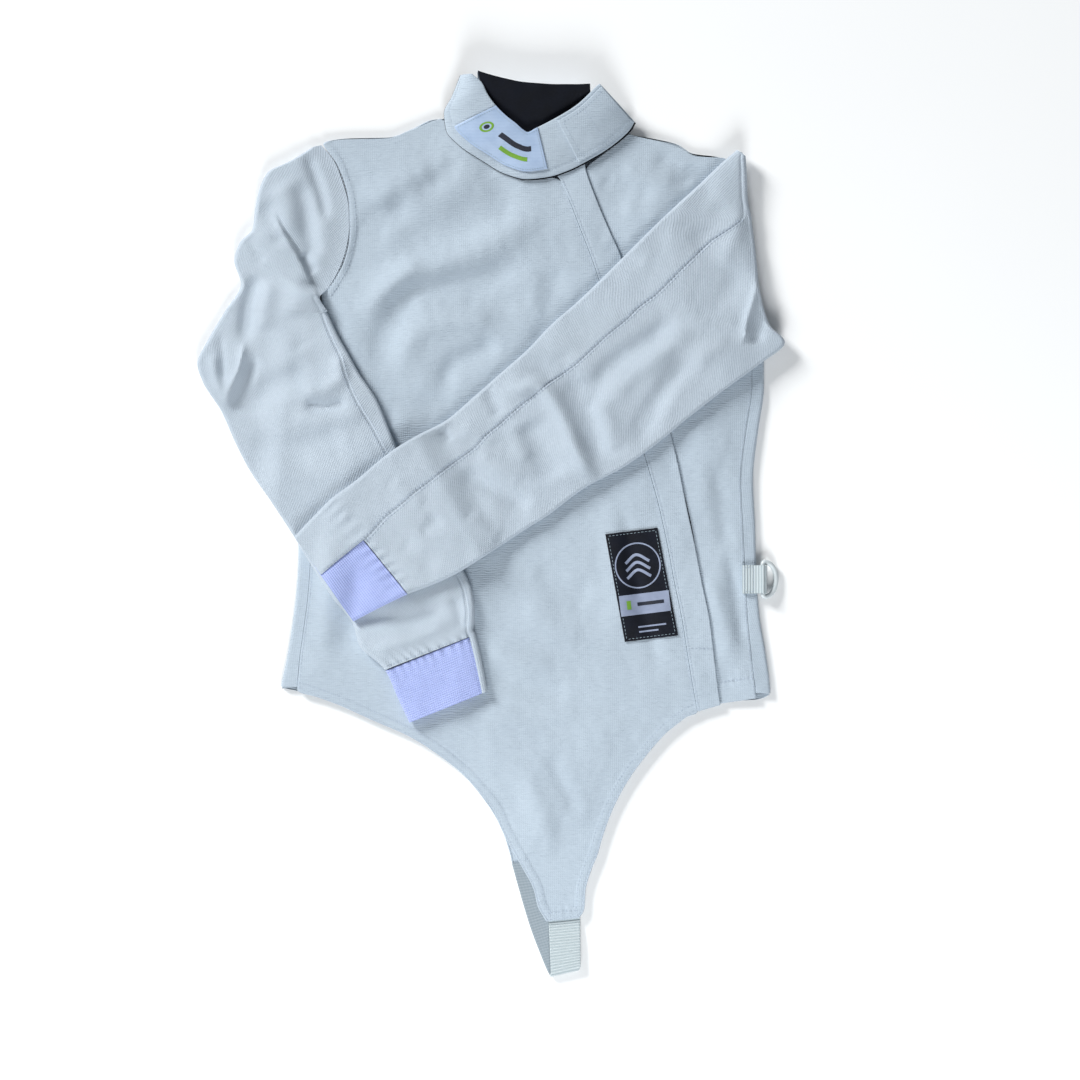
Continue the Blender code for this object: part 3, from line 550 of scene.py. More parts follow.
class Lie:
    """Heights of the layers that lie on each other, as functions of a place in the plane."""

    front_folds: tuple[Fold, ...] = (
        Fold(((43, 309), (-20, 280), (-96, 246), (-134, 225)), 20, -5.1),
        Fold(((52, 286), (-12, 254), (-80, 226), (-118, 208)), 15, 4.7),
        Fold(((-68, 300), (-101, 281), (-122, 256), (-141, 223)), 12, -5.5),
        Fold(((-50, 330), (-84, 312), (-110, 288)), 12, 2.7),
        Fold(((43, 243), (-20, 221), (-68, 216), (-91, 188), (-101, 161), (-100, 126)), 13, -5.5),
        Fold(((-60, 246), (-96, 214), (-116, 186)), 11, 3.4),
        Fold(((14, 190), (-40, 186), (-72, 170), (-80, 136)), 11, 3.1),
        Fold(((11, 168), (-13, 158), (-34, 147), (-48, 119)), 9, -4.7),
        Fold(((60, 240), (52, 196), (34, 160)), 10, -2.1),
        Fold(((-28, 340), (-46, 318), (-70, 306)), 9, -2.0),
        Fold(((4, 324), (12, 296), (8, 270)), 9, -1.7),
        Fold(((121, 26), (128, -30), (146, -100), (158, -150)), 7, -2.0),
        Fold(((110, 24), (116, -40), (120, -110)), 12, 2.0),
        Fold(((40, -40), (70, -60), (96, -66)), 12, -2.3),
        Fold(((30, -70), (60, -96), (88, -104)), 11, 2.0),
        Fold(((-4, -110), (26, -124), (60, -128)), 9, 2.0),
        Fold(((0, -132), (34, -150), (76, -156)), 10, -2.3),
        Fold(((-24, -176), (30, -178), (90, -172)), 12, 2.0),
        Fold(((-120, -30), (-128, -80), (-136, -130)), 12, -3.1),
        Fold(((-146, 0), (-150, -60), (-156, -120)), 10, 2.1),
        Fold(((22, -214), (40, -250), (58, -300), (66, -340)), 10, 2.3),
        Fold(((52, -206), (66, -240), (80, -270)), 8, -2.0),
        Fold(((176, 330), (196, 316), (214, 296)), 9, -2.5),
        Fold(((120, 332), (140, 318), (172, 312)), 9, 1.7),
        Fold(((204, 60), (212, 20), (214, -30)), 9, -2.5),
        Fold(((198, -40), (212, -80), (222, -130)), 9, 2.3),
        Fold(((216, -20), (226, -70), (232, -120)), 6, -2.0),
        Fold(((98, 320), (126, 306), (152, 300)), 12, -2.6),
        Fold(((118, 298), (150, 284), (178, 272)), 11, 2.0),
        Fold(((108, 262), (126, 246), (142, 240)), 9, -2.2),
        Fold(((150, 338), (172, 326), (186, 310)), 10, -1.9),
        Fold(((20, 352), (6, 330), (-14, 312)), 9, -1.4),
        Fold(((-112, 128), (-70, 112), (-30, 118)), 10, -2.0),
        Fold(((-96, 96), (-60, 90), (-34, 98)), 9, 1.7),
        Fold(((-30, 210), (10, 204), (40, 214)), 10, -1.6),
        Fold(((60, 160), (76, 134), (92, 122)), 9, -1.6),
    )
    right_folds: tuple[Fold, ...] = (
        Fold(((-150, 194), (-157, 208), (-166, 226), (-176, 247), (-189, 268), (-202, 292)), 3.6, 5.6,
             FoldKind.STEP, 30),
        Fold(((-171, 345), (-165, 331), (-158, 312), (-153, 294), (-150, 276)), 6, -4.8),
        Fold(((-180, 318), (-170, 292), (-166, 262), (-158, 240)), 9, -4.8),
        Fold(((-196, 316), (-186, 286), (-190, 262)), 11, 2.7),
        Fold(((-208, 300), (-203, 284), (-196, 268), (-192, 252)), 8, -2.5),
        Fold(((-174, 250), (-167, 240), (-161, 230)), 5.0, -3.4),
        Fold(((-224, 266), (-216, 252), (-207, 240)), 5.0, -1.6),
        Fold(((-214, 232), (-218, 218), (-223, 198), (-225, 181), (-234, 170)), 7, -6.1),
        Fold(((-200, 226), (-206, 200), (-208, 176)), 9, 3.1),
        Fold(((-226, 170), (-231, 145), (-239, 127), (-247, 108)), 5, 5.5, FoldKind.SHARP),
        Fold(((-216, 160), (-221, 140), (-228, 120), (-238, 98)), 6, -4.1),
        Fold(((-256, 158), (-253, 136), (-247, 118)), 4.5, 2.7),
        Fold(((-250, 176), (-246, 150), (-246, 130)), 4, -2.4),
        Fold(((-164, 146), (-186, 133), (-212, 118), (-232, 96)), 11, -5.4),
        Fold(((-178, 120), (-155, 124), (-138, 137), (-141, 160)), 7, 4.4),
        Fold(((-173, 110), (-152, 108), (-130, 113)), 4.6, -4.4),
        Fold(((-186, 98), (-150, 96), (-112, 104)), 8, 2.7),
        Fold(((-222, 76), (-180, 72), (-130, 84)), 11, -3.1),
        Fold(((-212, 52), (-170, 44), (-112, 60)), 11, 2.4),
        Fold(((-184, 196), (-180, 176), (-170, 158)), 10, -2.2),
        Fold(((-150, -60), (-104, -70), (-60, -68)), 8, 2.4),
        Fold(((-126, -86), (-84, -86), (-40, -74)), 7, -3.1),
        Fold(((-112, -116), (-74, -106), (-34, -88)), 6, 2.5),
        Fold(((-34, -64), (-30, -78), (-26, -98)), 6, -3.1),
    )
    left_folds: tuple[Fold, ...] = (
        Fold(((6, 126), (25, 125), (40, 128), (51, 122), (61, 108), (71, 87), (80, 66), (92, 44),
              (96, 32)), 7.2, 7.6),
        Fold(((-4, 130), (2, 114), (9, 98)), 5, -4.3),
        Fold(((34, 98), (42, 80), (50, 60), (58, 38)), 13, -5.6),
        Fold(((18, 96), (26, 76), (34, 56)), 8, 2.5),
        Fold(((72, 142), (80, 120), (92, 103), (99, 80), (105, 54)), 10.5, -5.2),
        Fold(((84, 103), (101, 135), (124, 156), (148, 172), (176, 196)), 9, -5.0),
        Fold(((96, 116), (106, 88), (114, 64)), 9, 4.0),
        Fold(((108, 110), (128, 134), (156, 156), (190, 182)), 9, 3.1),
        Fold(((196, 156), (163, 127), (142, 94), (134, 70)), 10, -5.3),
        Fold(((222, 176), (188, 146), (166, 118), (156, 92)), 9, 2.5),
        Fold(((232, 236), (214, 210), (188, 186)), 11, -2.3),
        Fold(((-28, 52), (-6, 38), (15, 27), (38, 14)), 8, -4.5),
        Fold(((-14, 66), (10, 50), (34, 42)), 8, 2.3),
        Fold(((-47, 87), (-42, 82), (-36, 76)), 5, -2.8),
        Fold(((-46, 8), (-54, 0), (-64, -9)), 7, -2.3),
        Fold(((-20, 10), (-6, -4), (10, -14)), 8, 1.9),
        Fold(((-92, 40), (-74, 26), (-60, 18)), 8, 1.6),
        Fold(((-84, -16), (-66, -30), (-46, -38)), 8, -1.7),
        Fold(((-30, 90), (-12, 82), (4, 70)), 7, 1.7),
        Fold(((247, 228), (240, 204), (234, 182), (232, 162)), 4.4, 4.3, FoldKind.SHARP),
        Fold(((256, 200), (250, 186), (240, 164)), 6, -2.8),
        Fold(((216, 300), (200, 270), (186, 250)), 9, -2.2),
        Fold(((230, 290), (222, 262), (210, 236)), 8, 2.2),
    )

    def __init__(self) -> None:
        """Lay out the outlines and the stitched edges."""
        self.body = outline_of(BODY)
        self.right_sleeve = outline_of(RIGHT_SLEEVE)
        left, right = FRONT[HEM_FIRST:, :2], FRONT[PLACKET_LAST:, 2:]
        self.front_hem = Hem(np.vstack([eased_path(left, 4), eased_path(right[::-1], 4)]))
        last = LEFT_FRONT[-1]
        self.left_hem = Hem(np.array([last[:2], last[2:]]), 20.0, 0.5, (19.0, 20.5))
        armhole = RIGHT_SLEEVE[: RIGHT_UNDERARM + 1, :2]
        self.armhole = Hem(eased_path(armhole, 5), 8.0, 0.9, (1.6, 7.0), 0.1)
        edge = PLACKET_EDGE[::-1]
        self.placket_edge = edge
        self.placket_seam = Hem(eased_path(FRONT[PLACKET_FIRST : PLACKET_LAST + 1, 2:], 4),
                                1.6, 0.0, (2.2,), 0.05)

    def front_top(self, points: Array) -> Array:
        """Upper face of the front panels: level at the side seams, higher in the middle."""
        inside = -outside(points, self.body)
        rise = FRONT_RISE * smooth(inside / FRONT_RISE_RUN)
        loose = heights_of(self.front_folds, points) + slack(points, 46.0, 0.4, 3)
        loose = loose + slack(points, 15.0, 0.15, 4)
        total = FRONT_EDGE_Z + rise + loose * smooth(inside / 18.0)
        return soft_floor(total, BACK_CLOTH + CLOTH + LAYER_GAP, 0.7)

    def dressed_front(self, points: Array) -> Array:
        """The right front with its hem, its armhole band and the sunk seam at the placket."""
        total = self.front_top(points) + self.front_hem.height_at(points)
        return total + self.armhole.height_at(points) + self.placket_seam.height_at(points)

    def placket_top(self, points: Array) -> Array:
        """The placket lies on the fly, a little higher than the front beside it."""
        total = self.front_top(points) + PLACKET_LIFT
        return total + self.placket_seam.height_at(points)

    def beside_placket(self, points: Array) -> Array:
        """How far a point lies to the right of the placket's free edge."""
        edge = self.placket_edge
        return points[..., 0] - np.interp(points[..., 1], edge[:, 1], edge[:, 0])

    def left_front_top(self, points: Array) -> Array:
        """The left front dips under the placket and comes up again beside it."""
        drop = UNDERLAP_DROP * (1.0 - smooth(self.beside_placket(points) / UNDERLAP_RUN))
        total = self.front_top(points) - drop + self.left_hem.height_at(points)
        return np.maximum(total, BACK_CLOTH + CLOTH + LAYER_GAP)

    def over_body(self, points: Array) -> Array:
        """Height on which a sleeve lies: the front, then down to the table beside the body."""
        share = 1.0 - smooth((outside(points, self.body) - CLIMB_START) / CLIMB_RUN)
        return share * (self.front_top(points) + STACK_GAP)

    def over_right_sleeve(self, points: Array) -> Array:
        """Height on which the left sleeve lies: the right sleeve where that is beneath it."""
        share = 1.0 - smooth((outside(points, self.right_sleeve) - CLIMB_START) / CLIMB_RUN)
        crests = np.maximum(heights_of(self.right_folds, points), 0.0)
        return self.over_body(points) + share * (SLEEVE_THICK + STACK_GAP + 0.8 + crests)


def write_mesh(name: str, points: Array, faces: Array, finish: bpy.types.Material,
               grain: Array) -> bpy.types.Object:
    """An object from points in millimetres, with its faces turned out and its grain as UV.

    The sum of the tetrahedra under the faces is the mesh's volume, and a negative one means that
    the faces point inwards, so they are turned round.

    Args:
        name: the piece's name.
        points: its points, in millimetres.
        faces: four point numbers for each face.
        finish: its material.
        grain: two lengths for each point, in millimetres, across and along the threads.

    Returns:
        The object, at the origin.
    """
    corner = points[faces]
    cross = np.cross(corner[:, 1] - corner[:, 0], corner[:, 2] - corner[:, 0])
    cross += np.cross(corner[:, 2] - corner[:, 0], corner[:, 3] - corner[:, 0])
    if (corner[:, 0] * cross).sum() < 0.0:
        faces = faces[:, ::-1]
    mesh = bpy.data.meshes.new(name)
    mesh.vertices.add(len(points))
    mesh.vertices.foreach_set("co", (points * MM).astype(np.float32).ravel())
    mesh.loops.add(faces.size)
    mesh.loops.foreach_set("vertex_index", faces.astype(np.int32).ravel())
    mesh.polygons.add(len(faces))
    mesh.polygons.foreach_set("loop_start", np.arange(0, faces.size, 4, dtype=np.int32))
    mesh.update(calc_edges=True)
    mesh.uv_layers.new(name="grain")
    mesh.uv_layers["grain"].data.foreach_set(
        "uv", (grain[faces.ravel()] * MM).astype(np.float32).ravel())
    mesh.materials.append(finish)
    mesh.shade_smooth()
    mesh.set_sharp_from_angle(angle=math.radians(52))
    made = bpy.data.objects.new(name, mesh)
    bpy.context.scene.collection.objects.link(made)
    return made


@dataclass
class Wall:
    """A wall of cloth: an outer and an inner face on the same grid, closed along its edges."""

    name: str
    outer: Array
    inner: Array
    grain: Array

    def cut(self) -> tuple[float, float, float]:
        """Its widest row, its middle column and its area in metres: the outer face laid out."""
        across = np.diff(self.outer, axis=1)
        along = np.diff(self.outer, axis=0)
        cell = np.linalg.norm(np.cross(across[:-1], along[:, :-1]), axis=-1).sum()
        width = np.linalg.norm(across, axis=-1).sum(1).max()
        length = np.linalg.norm(along[:, along.shape[1] // 2], axis=-1).sum()
        return width * MM, length * MM, min(cell, width * length) * MM * MM

    def build(self, finish: bpy.types.Material) -> bpy.types.Object:
        """The closed mesh: both faces, and a strip of faces round the rim between them."""
        rows, columns = self.outer.shape[:2]
        number = np.arange(rows * columns).reshape(rows, columns)
        front = np.stack([number[:-1, :-1], number[:-1, 1:], number[1:, 1:], number[1:, :-1]], -1)
        front = front.reshape(-1, 4)
        back = front[:, ::-1] + rows * columns
        rim = np.concatenate([number[0], number[1:, -1], number[-1, -2::-1], number[-2:0:-1, 0]])
        after = np.roll(rim, -1)
        side = np.stack([rim, rim + rows * columns, after + rows * columns, after], -1)
        points = np.vstack([self.outer.reshape(-1, 3), self.inner.reshape(-1, 3)])
        grain = np.tile(self.grain.reshape(-1, 2), (2, 1))
        return write_mesh(self.name, points, np.vstack([front, back, side]), finish, grain)


def normals_of(face: Array) -> Array:
    """Unit normals of a face that is given by row and column."""
    return unit_of(np.cross(np.gradient(face, axis=0), np.gradient(face, axis=1)))


def thickened(face: Array, wall: float) -> Array:
    """The face one wall's thickness behind a face, along its normals."""
    return face - wall * normals_of(face)


def laid_wall(name: str, flat: Array, top: Array, wall: float, ends: bool = True) -> Wall:
    """A wall that lies flat, with its edges rounded over.

    The upper face is the given height less a quarter circle at each edge, and the lower face is a
    wall below it plus the same quarter circle, so that the two meet at the middle of the edge.

    Args:
        name: the piece's name.
        flat: places in the plane, by row and column.
        top: the upper face's height there.
        wall: the cloth's thickness.
        ends: whether the first and last rows are rounded too.

    Returns:
        The wall, with its grain along the plane.
    """
    reach = lengths_along(flat, 1)
    depth = np.minimum(reach, reach[:, -1:] - reach)
    if ends:
        run = lengths_along(flat)
        depth = np.minimum(depth, np.minimum(run, run[-1:] - run))
    fall = rolled(depth, EDGE_ROUND * wall)
    outer = np.concatenate([flat, (top - fall)[..., None]], axis=-1)
    inner = np.concatenate([flat, (top - wall + fall)[..., None]], axis=-1)
    return Wall(name, outer, inner, flat)


def rung_grid(rows: Array, count: int, parts: int, trim: tuple[float, float] = (0.0, 0.0)) -> Array:
    """Places on a table's sections, crowded at all four edges.

    Args:
        rows: the table, whose first four columns are the two ends of each section.
        count: columns between the crowded edges.
        parts: rows for each step of the table.
        trim: millimetres taken off at the first and second end.

    Returns:
        x and y by row and column.
    """
    length = lengths_along((rows[:, :2] + rows[:, 2:4]) / 2)[-1]
    places = edge_places(length, parts * (len(rows) - 1)) * (len(rows) - 1.0)
    ends = eased_rows(rows[:, :4], places)
    run = ends[:, 2:] - ends[:, :2]
    unit = unit_of(run)
    start, end = ends[:, :2] + unit * trim[0], ends[:, 2:] - unit * trim[1]
    shares = edge_places(float(np.median(np.linalg.norm(run, axis=1))), count)[:, None]
    return between(start[:, None], end[:, None], shares)


Socket = bpy.types.NodeSocket
Tree = bpy.types.NodeTree


def linear(code: str) -> tuple[float, float, float, float]:
    """An sRGB hex colour as linear values."""
    values = [int(code[i : i + 2], 16) / 255.0 for i in (1, 3, 5)]
    turned = [v / 12.92 if v <= 0.04045 else ((v + 0.055) / 1.055) ** 2.4 for v in values]
    return (*turned, 1.0)


def bands(spacing_mm: float) -> float:
    """Scale of a Wave texture whose bands repeat at a spacing: it holds 20 radians a unit."""
    return 2.0 * math.pi / (20.0 * spacing_mm * MM)


def add(tree: Tree, kind: str, settings: dict | None = None,
        links: dict | None = None) -> bpy.types.Node:
    """Add a node with its settings and links.

    Args:
        tree: the material's node tree.
        kind: the node's type.
        settings: properties of the node, or values of its inputs by name or number.
        links: sockets to join to its inputs, by name or number.

    Returns:
        The node.
    """
    node = tree.nodes.new(kind)
    for name, value in (settings or {}).items():
        if isinstance(name, str) and hasattr(node, name):
            setattr(node, name, value)
        else:
            node.inputs[name].default_value = value
    for name, socket in (links or {}).items():
        tree.links.new(socket, node.inputs[name])
    return node


@dataclass(frozen=True)
class Finish:
    """What every finish starts from: a name, a shader and the piece's own grain."""

    name: str
    colour: str
    roughness: float

    def start(self, **values: float) -> tuple[bpy.types.Material, Tree, bpy.types.Node, Socket]:
        """A material with its shader set.

        Args:
            **values: the shader's uniform values, by input name with _ for each space.

        Returns:
            The material, its tree, its shader and the grain, in metres across and along.
        """
        made = bpy.data.materials.new(self.name)
        made.use_nodes = True
        tree = made.node_tree
        shader = tree.nodes["Principled BSDF"]
        shader.inputs["Roughness"].default_value = self.roughness
        for name, value in values.items():
            shader.inputs[name.replace("_", " ")].default_value = value
        made.diffuse_color = linear(self.colour)
        grain = add(tree, "ShaderNodeUVMap", {"uv_map": "grain"})
        return made, tree, shader, grain.outputs[0]

    def join(self, tree: Tree, shader: bpy.types.Node, shade: Socket, height: Socket,
             colours: tuple[str, str], depth_mm: float) -> None:
        """Give the shader its colour and relief.

        Args:
            tree: the material's tree.
            shader: its shader.
            shade: 0 to 1, from the darker to the lighter colour.
            height: 0 to 1, the relief.
            colours: the darker and the lighter colour.
            depth_mm: the relief's depth.
        """
        mixed = add(tree, "ShaderNodeMix", {"data_type": "RGBA", 6: linear(colours[0]),
                                            7: linear(colours[1])}, {0: shade})
        relief = add(tree, "ShaderNodeBump", {"Strength": 1.0, "Distance": depth_mm * MM},
                     {"Height": height})
        tree.links.new(mixed.outputs[2], shader.inputs["Base Color"])
        tree.links.new(relief.outputs[0], shader.inputs["Normal"])


@dataclass(frozen=True)
class CrepeCloth(Finish):
    """Polyester and cotton fencing cloth, woven with a crinkled weft.

    To the eye it is a matte cool white with fine uneven lines across it, each a weft that lies
    a little higher, and a soft bloom where the light grazes it. The weft is 1.2 mm apart in the
    real cloth and is drawn 2.1 mm apart so that it shows.
    """

    shade: str = "#A2AFBC"
    weft_mm: float = 2.1
    warp_mm: float = 1.9
    crinkle_mm: tuple[float, float] = (8.0, 2.2)
    depth_mm: float = 0.55

    def build(self) -> bpy.types.Material:
        """Crinkle and weft lines for the relief, and the same for colour, painted darker in the low
        places as shade, with slow mottling.
        """
        made, tree, shader, grain = self.start(Sheen_Weight=0.3, Sheen_Roughness=0.5, IOR=1.5,
                                               Specular_IOR_Level=0.25)
        across, along = (1.0 / (mm * MM) for mm in self.crinkle_mm)
        spread = add(tree, "ShaderNodeMapping", {"Scale": (across, along, 1.0)}, {"Vector": grain})
        crinkle = add(tree, "ShaderNodeTexNoise", {"Scale": 1.0, "Detail": 3.0, "Roughness": 0.6,
                                                   "Distortion": 0.5},
                      {"Vector": spread.outputs[0]})
        weft = add(tree, "ShaderNodeTexWave", {"bands_direction": "Y", "Scale": bands(self.weft_mm),
                                               "Distortion": 9.0, "Detail": 2.0,
                                               "Detail Scale": 0.5}, {"Vector": grain})
        warp = add(tree, "ShaderNodeTexWave", {"bands_direction": "X", "Scale": bands(self.warp_mm),
                                               "Distortion": 1.0}, {"Vector": grain})
        threads = add(tree, "ShaderNodeMath", {"operation": "MULTIPLY_ADD", 1: 0.24},
                      {0: weft.outputs["Fac"], 2: crinkle.outputs[0]})
        height = add(tree, "ShaderNodeMath", {"operation": "MULTIPLY_ADD", 1: 0.16},
                     {0: warp.outputs["Fac"], 2: threads.outputs[0]})
        cloudy = add(tree, "ShaderNodeTexNoise", {"Scale": 1.0 / (70.0 * MM), "Detail": 2.0},
                     {"Vector": grain})
        # Colour follows the relief: its low places take the darker colour as painted shade, and the
        # slow mottling is the cloth's own uneven tone
        tone = add(tree, "ShaderNodeMath", {"operation": "MULTIPLY_ADD", 1: 0.7},
                   {0: cloudy.outputs[0], 2: height.outputs[0]})
        shade = add(tree, "ShaderNodeMapRange", {"From Min": 0.35, "From Max": 1.25},
                    {"Value": tone.outputs[0]})
        gloss = add(tree, "ShaderNodeMapRange", {"To Min": self.roughness + 0.08,
                                                 "To Max": self.roughness - 0.06},
                    {"Value": height.outputs[0]})
        tree.links.new(gloss.outputs[0], shader.inputs["Roughness"])
        self.join(tree, shader, shade.outputs[0], height.outputs[0], (self.shade, self.colour),
                  self.depth_mm)
        return made


@dataclass(frozen=True)
class TwillKnit(Finish):
    """Double-knit stretch cloth with a fine diagonal.

    To the eye it is smoother and a little glossier than the body's cloth, with small diamonds
    where the two diagonals cross. They are 0.9 mm in the real cloth and are drawn 1.7 mm.
    """

    shade: str = "#ACB9C6"
    stitch_mm: float = 1.7
    depth_mm: float = 0.36

    def build(self) -> bpy.types.Material:
        """Two crossing diagonals for the relief, and the same for colour, painted darker in the low
        places as shade, with slow mottling added.
        """
        made, tree, shader, grain = self.start(Sheen_Weight=0.4, Sheen_Roughness=0.4, IOR=1.5,
                                               Specular_IOR_Level=0.3)
        diagonals = []
        for turn, weight in ((0.72, 0.0), (-0.86, 0.3)):
            leaning = add(tree, "ShaderNodeMapping", {"Rotation": (0.0, 0.0, turn)},
                          {"Vector": grain})
            diagonals.append(add(tree, "ShaderNodeTexWave",
                                 {"Scale": bands(self.stitch_mm), "Distortion": 0.8 + weight,
                                  "Detail Scale": 2.0}, {"Vector": leaning.outputs[0]}))
        crossed = add(tree, "ShaderNodeMath", {"operation": "MULTIPLY"},
                      {0: diagonals[0].outputs["Fac"], 1: diagonals[1].outputs["Fac"]})
        fuzz = add(tree, "ShaderNodeTexNoise", {"Scale": 1.0 / (3.2 * MM), "Detail": 3.0},
                   {"Vector": grain})
        height = add(tree, "ShaderNodeMath", {"operation": "MULTIPLY_ADD", 1: 0.8},
                     {0: fuzz.outputs[0], 2: crossed.outputs[0]})
        cloudy = add(tree, "ShaderNodeTexNoise", {"Scale": 1.0 / (60.0 * MM), "Detail": 2.0},
                     {"Vector": grain})
        # Colour follows the relief: its low places take the darker colour as painted shade, and the
        # slow mottling is the cloth's own uneven tone
        tone = add(tree, "ShaderNodeMath", {"operation": "MULTIPLY_ADD", 1: 0.6},
                   {0: cloudy.outputs[0], 2: height.outputs[0]})
        shade = add(tree, "ShaderNodeMapRange", {"From Min": 0.35, "From Max": 1.25},
                    {"Value": tone.outputs[0]})
        gloss = add(tree, "ShaderNodeMapRange", {"To Min": self.roughness + 0.08,
                                                 "To Max": self.roughness - 0.08},
                    {"Value": height.outputs[0]})
        tree.links.new(gloss.outputs[0], shader.inputs["Roughness"])
        self.join(tree, shader, shade.outputs[0], height.outputs[0], (self.shade, self.colour),
                  self.depth_mm)
        return made


@dataclass(frozen=True)
class RibKnit(Finish):
    """Elastic knit of cuffs and webbing: raised stitches in rows.

    To the eye a cuff is dotted with small stitches and webbing is ribbed across its run. Cuff
    stitches are 1.2 mm in the real cloth and are drawn 2 mm, and the webbing's ribs are 1.8 mm
    apart and are drawn 2.6 mm.
    """

    shade: str = "#929EDB"
    across_mm: float = 2.0
    along_mm: float = 2.0
    across_share: float = 0.5
    fuzz_share: float = 0.6
    depth_mm: float = 0.35

    def build(self) -> bpy.types.Material:
        """Rows and columns of stitches for the relief, and the same with fuzz for colour, painted
        darker between the stitches as shade.
        """
        made, tree, shader, grain = self.start(Sheen_Weight=0.35, Sheen_Roughness=0.5, IOR=1.5,
                                               Specular_IOR_Level=0.25)
        rows = add(tree, "ShaderNodeTexWave", {"bands_direction": "Y", "Scale": bands(self.along_mm),
                                               "Distortion": 0.4}, {"Vector": grain})
        columns = add(tree, "ShaderNodeTexWave", {"bands_direction": "X",
                                                  "Scale": bands(self.across_mm),
                                                  "Distortion": 0.4}, {"Vector": grain})
        fuzz = add(tree, "ShaderNodeTexNoise", {"Scale": 1.0 / (4.0 * MM), "Detail": 3.0},
                   {"Vector": grain})
        stitches = add(tree, "ShaderNodeMath", {"operation": "MULTIPLY_ADD", 1: self.across_share},
                       {0: columns.outputs["Fac"], 2: rows.outputs["Fac"]})
        height = add(tree, "ShaderNodeMath", {"operation": "MULTIPLY_ADD", 1: self.fuzz_share},
                     {0: fuzz.outputs[0], 2: stitches.outputs[0]})
        # Colour follows the relief: painted shade between the stitches and ribs, where the relief is
        # low
        shade = add(tree, "ShaderNodeMapRange", {"From Min": 0.2, "From Max": 1.4},
                    {"Value": height.outputs[0]})
        self.join(tree, shader, shade.outputs[0], height.outputs[0], (self.shade, self.colour),
                  self.depth_mm)
        return made


@dataclass(frozen=True)
class SatinWeave(Finish):
    """Woven satin of labels and smooth lining: long threads that lie one way.

    To the eye it is even and slightly shiny, with faint lines along its threads. They are 0.3 mm
    apart in real satin and are drawn 1.1 mm.
    """

    shade: str = "#05070D"
    thread_mm: float = 1.1
    depth_mm: float = 0.1
    specular: float = 0.45

    def build(self) -> bpy.types.Material:
        """Thread lines for the relief, and for colour the same lines as painted shade between the
        threads, with slow mottling added.
        """
        made, tree, shader, grain = self.start(Sheen_Weight=0.15, Sheen_Roughness=0.4, IOR=1.5,
                                               Specular_IOR_Level=self.specular)
        threads = add(tree, "ShaderNodeTexWave", {"bands_direction": "Y",
                                                  "Scale": bands(self.thread_mm),
                                                  "Distortion": 0.6}, {"Vector": grain})
        cloudy = add(tree, "ShaderNodeTexNoise", {"Scale": 1.0 / (14.0 * MM), "Detail": 3.0},
                     {"Vector": grain})
        # The thread lines darken the colour between the threads as painted shade, and the slow
        # mottling is the satin's own uneven tone
        tone = add(tree, "ShaderNodeMath", {"operation": "MULTIPLY_ADD", 1: 0.4},
                   {0: threads.outputs["Fac"], 2: cloudy.outputs[0]})
        shade = add(tree, "ShaderNodeMapRange", {"From Min": 0.3, "From Max": 1.0},
                    {"Value": tone.outputs[0]})
        self.join(tree, shader, shade.outputs[0], threads.outputs["Fac"],
                  (self.shade, self.colour), self.depth_mm)
        return made


@dataclass(frozen=True)
class SewingThread(Finish):
    """Twisted polyester sewing thread: small, off-white and slightly shiny, with a twist."""

    shade: str = "#9AA9BC"
    twist_mm: float = 0.9

    def build(self) -> bpy.types.Material:
        """A leaning band for each twist of the thread, in the relief and in the colour, which is
        painted darker in each groove as shade.
        """
        made, tree, shader, grain = self.start(IOR=1.5, Specular_IOR_Level=0.35)
        leaning = add(tree, "ShaderNodeMapping", {"Rotation": (0.0, 0.0, 0.6)}, {"Vector": grain})
        twist = add(tree, "ShaderNodeTexWave", {"Scale": bands(self.twist_mm)},
                    {"Vector": leaning.outputs[0]})
        # The twist bands darken the colour in each groove of the twist: painted shade
        self.join(tree, shader, twist.outputs["Fac"], twist.outputs["Fac"],
                  (self.shade, self.colour), 0.06)
        return made


@dataclass(frozen=True)
class Moulded(Finish):
    """Moulded acetal: hard, off-white, with a soft gloss and a faintly uneven skin."""

    shade: str = "#C9D2D6"
    ripple_mm: float = 5.0

    def build(self) -> bpy.types.Material:
        """Slow ripples of the skin, with faint scuffs that dull it."""
        made, tree, shader, _ = self.start(IOR=1.48, Specular_IOR_Level=0.5, Coat_Weight=0.1)
        place = add(tree, "ShaderNodeTexCoord")
        skin = add(tree, "ShaderNodeTexNoise", {"Scale": 1.0 / (self.ripple_mm * MM),
                                                "Detail": 4.0},
                   {"Vector": place.outputs["Object"]})
        dull = add(tree, "ShaderNodeMapRange", {"To Min": self.roughness - 0.06,
                                                "To Max": self.roughness + 0.12},
                   {"Value": skin.outputs[0]})
        tree.links.new(dull.outputs[0], shader.inputs["Roughness"])
        self.join(tree, shader, skin.outputs[0], skin.outputs[0], (self.shade, self.colour), 0.05)
        return made


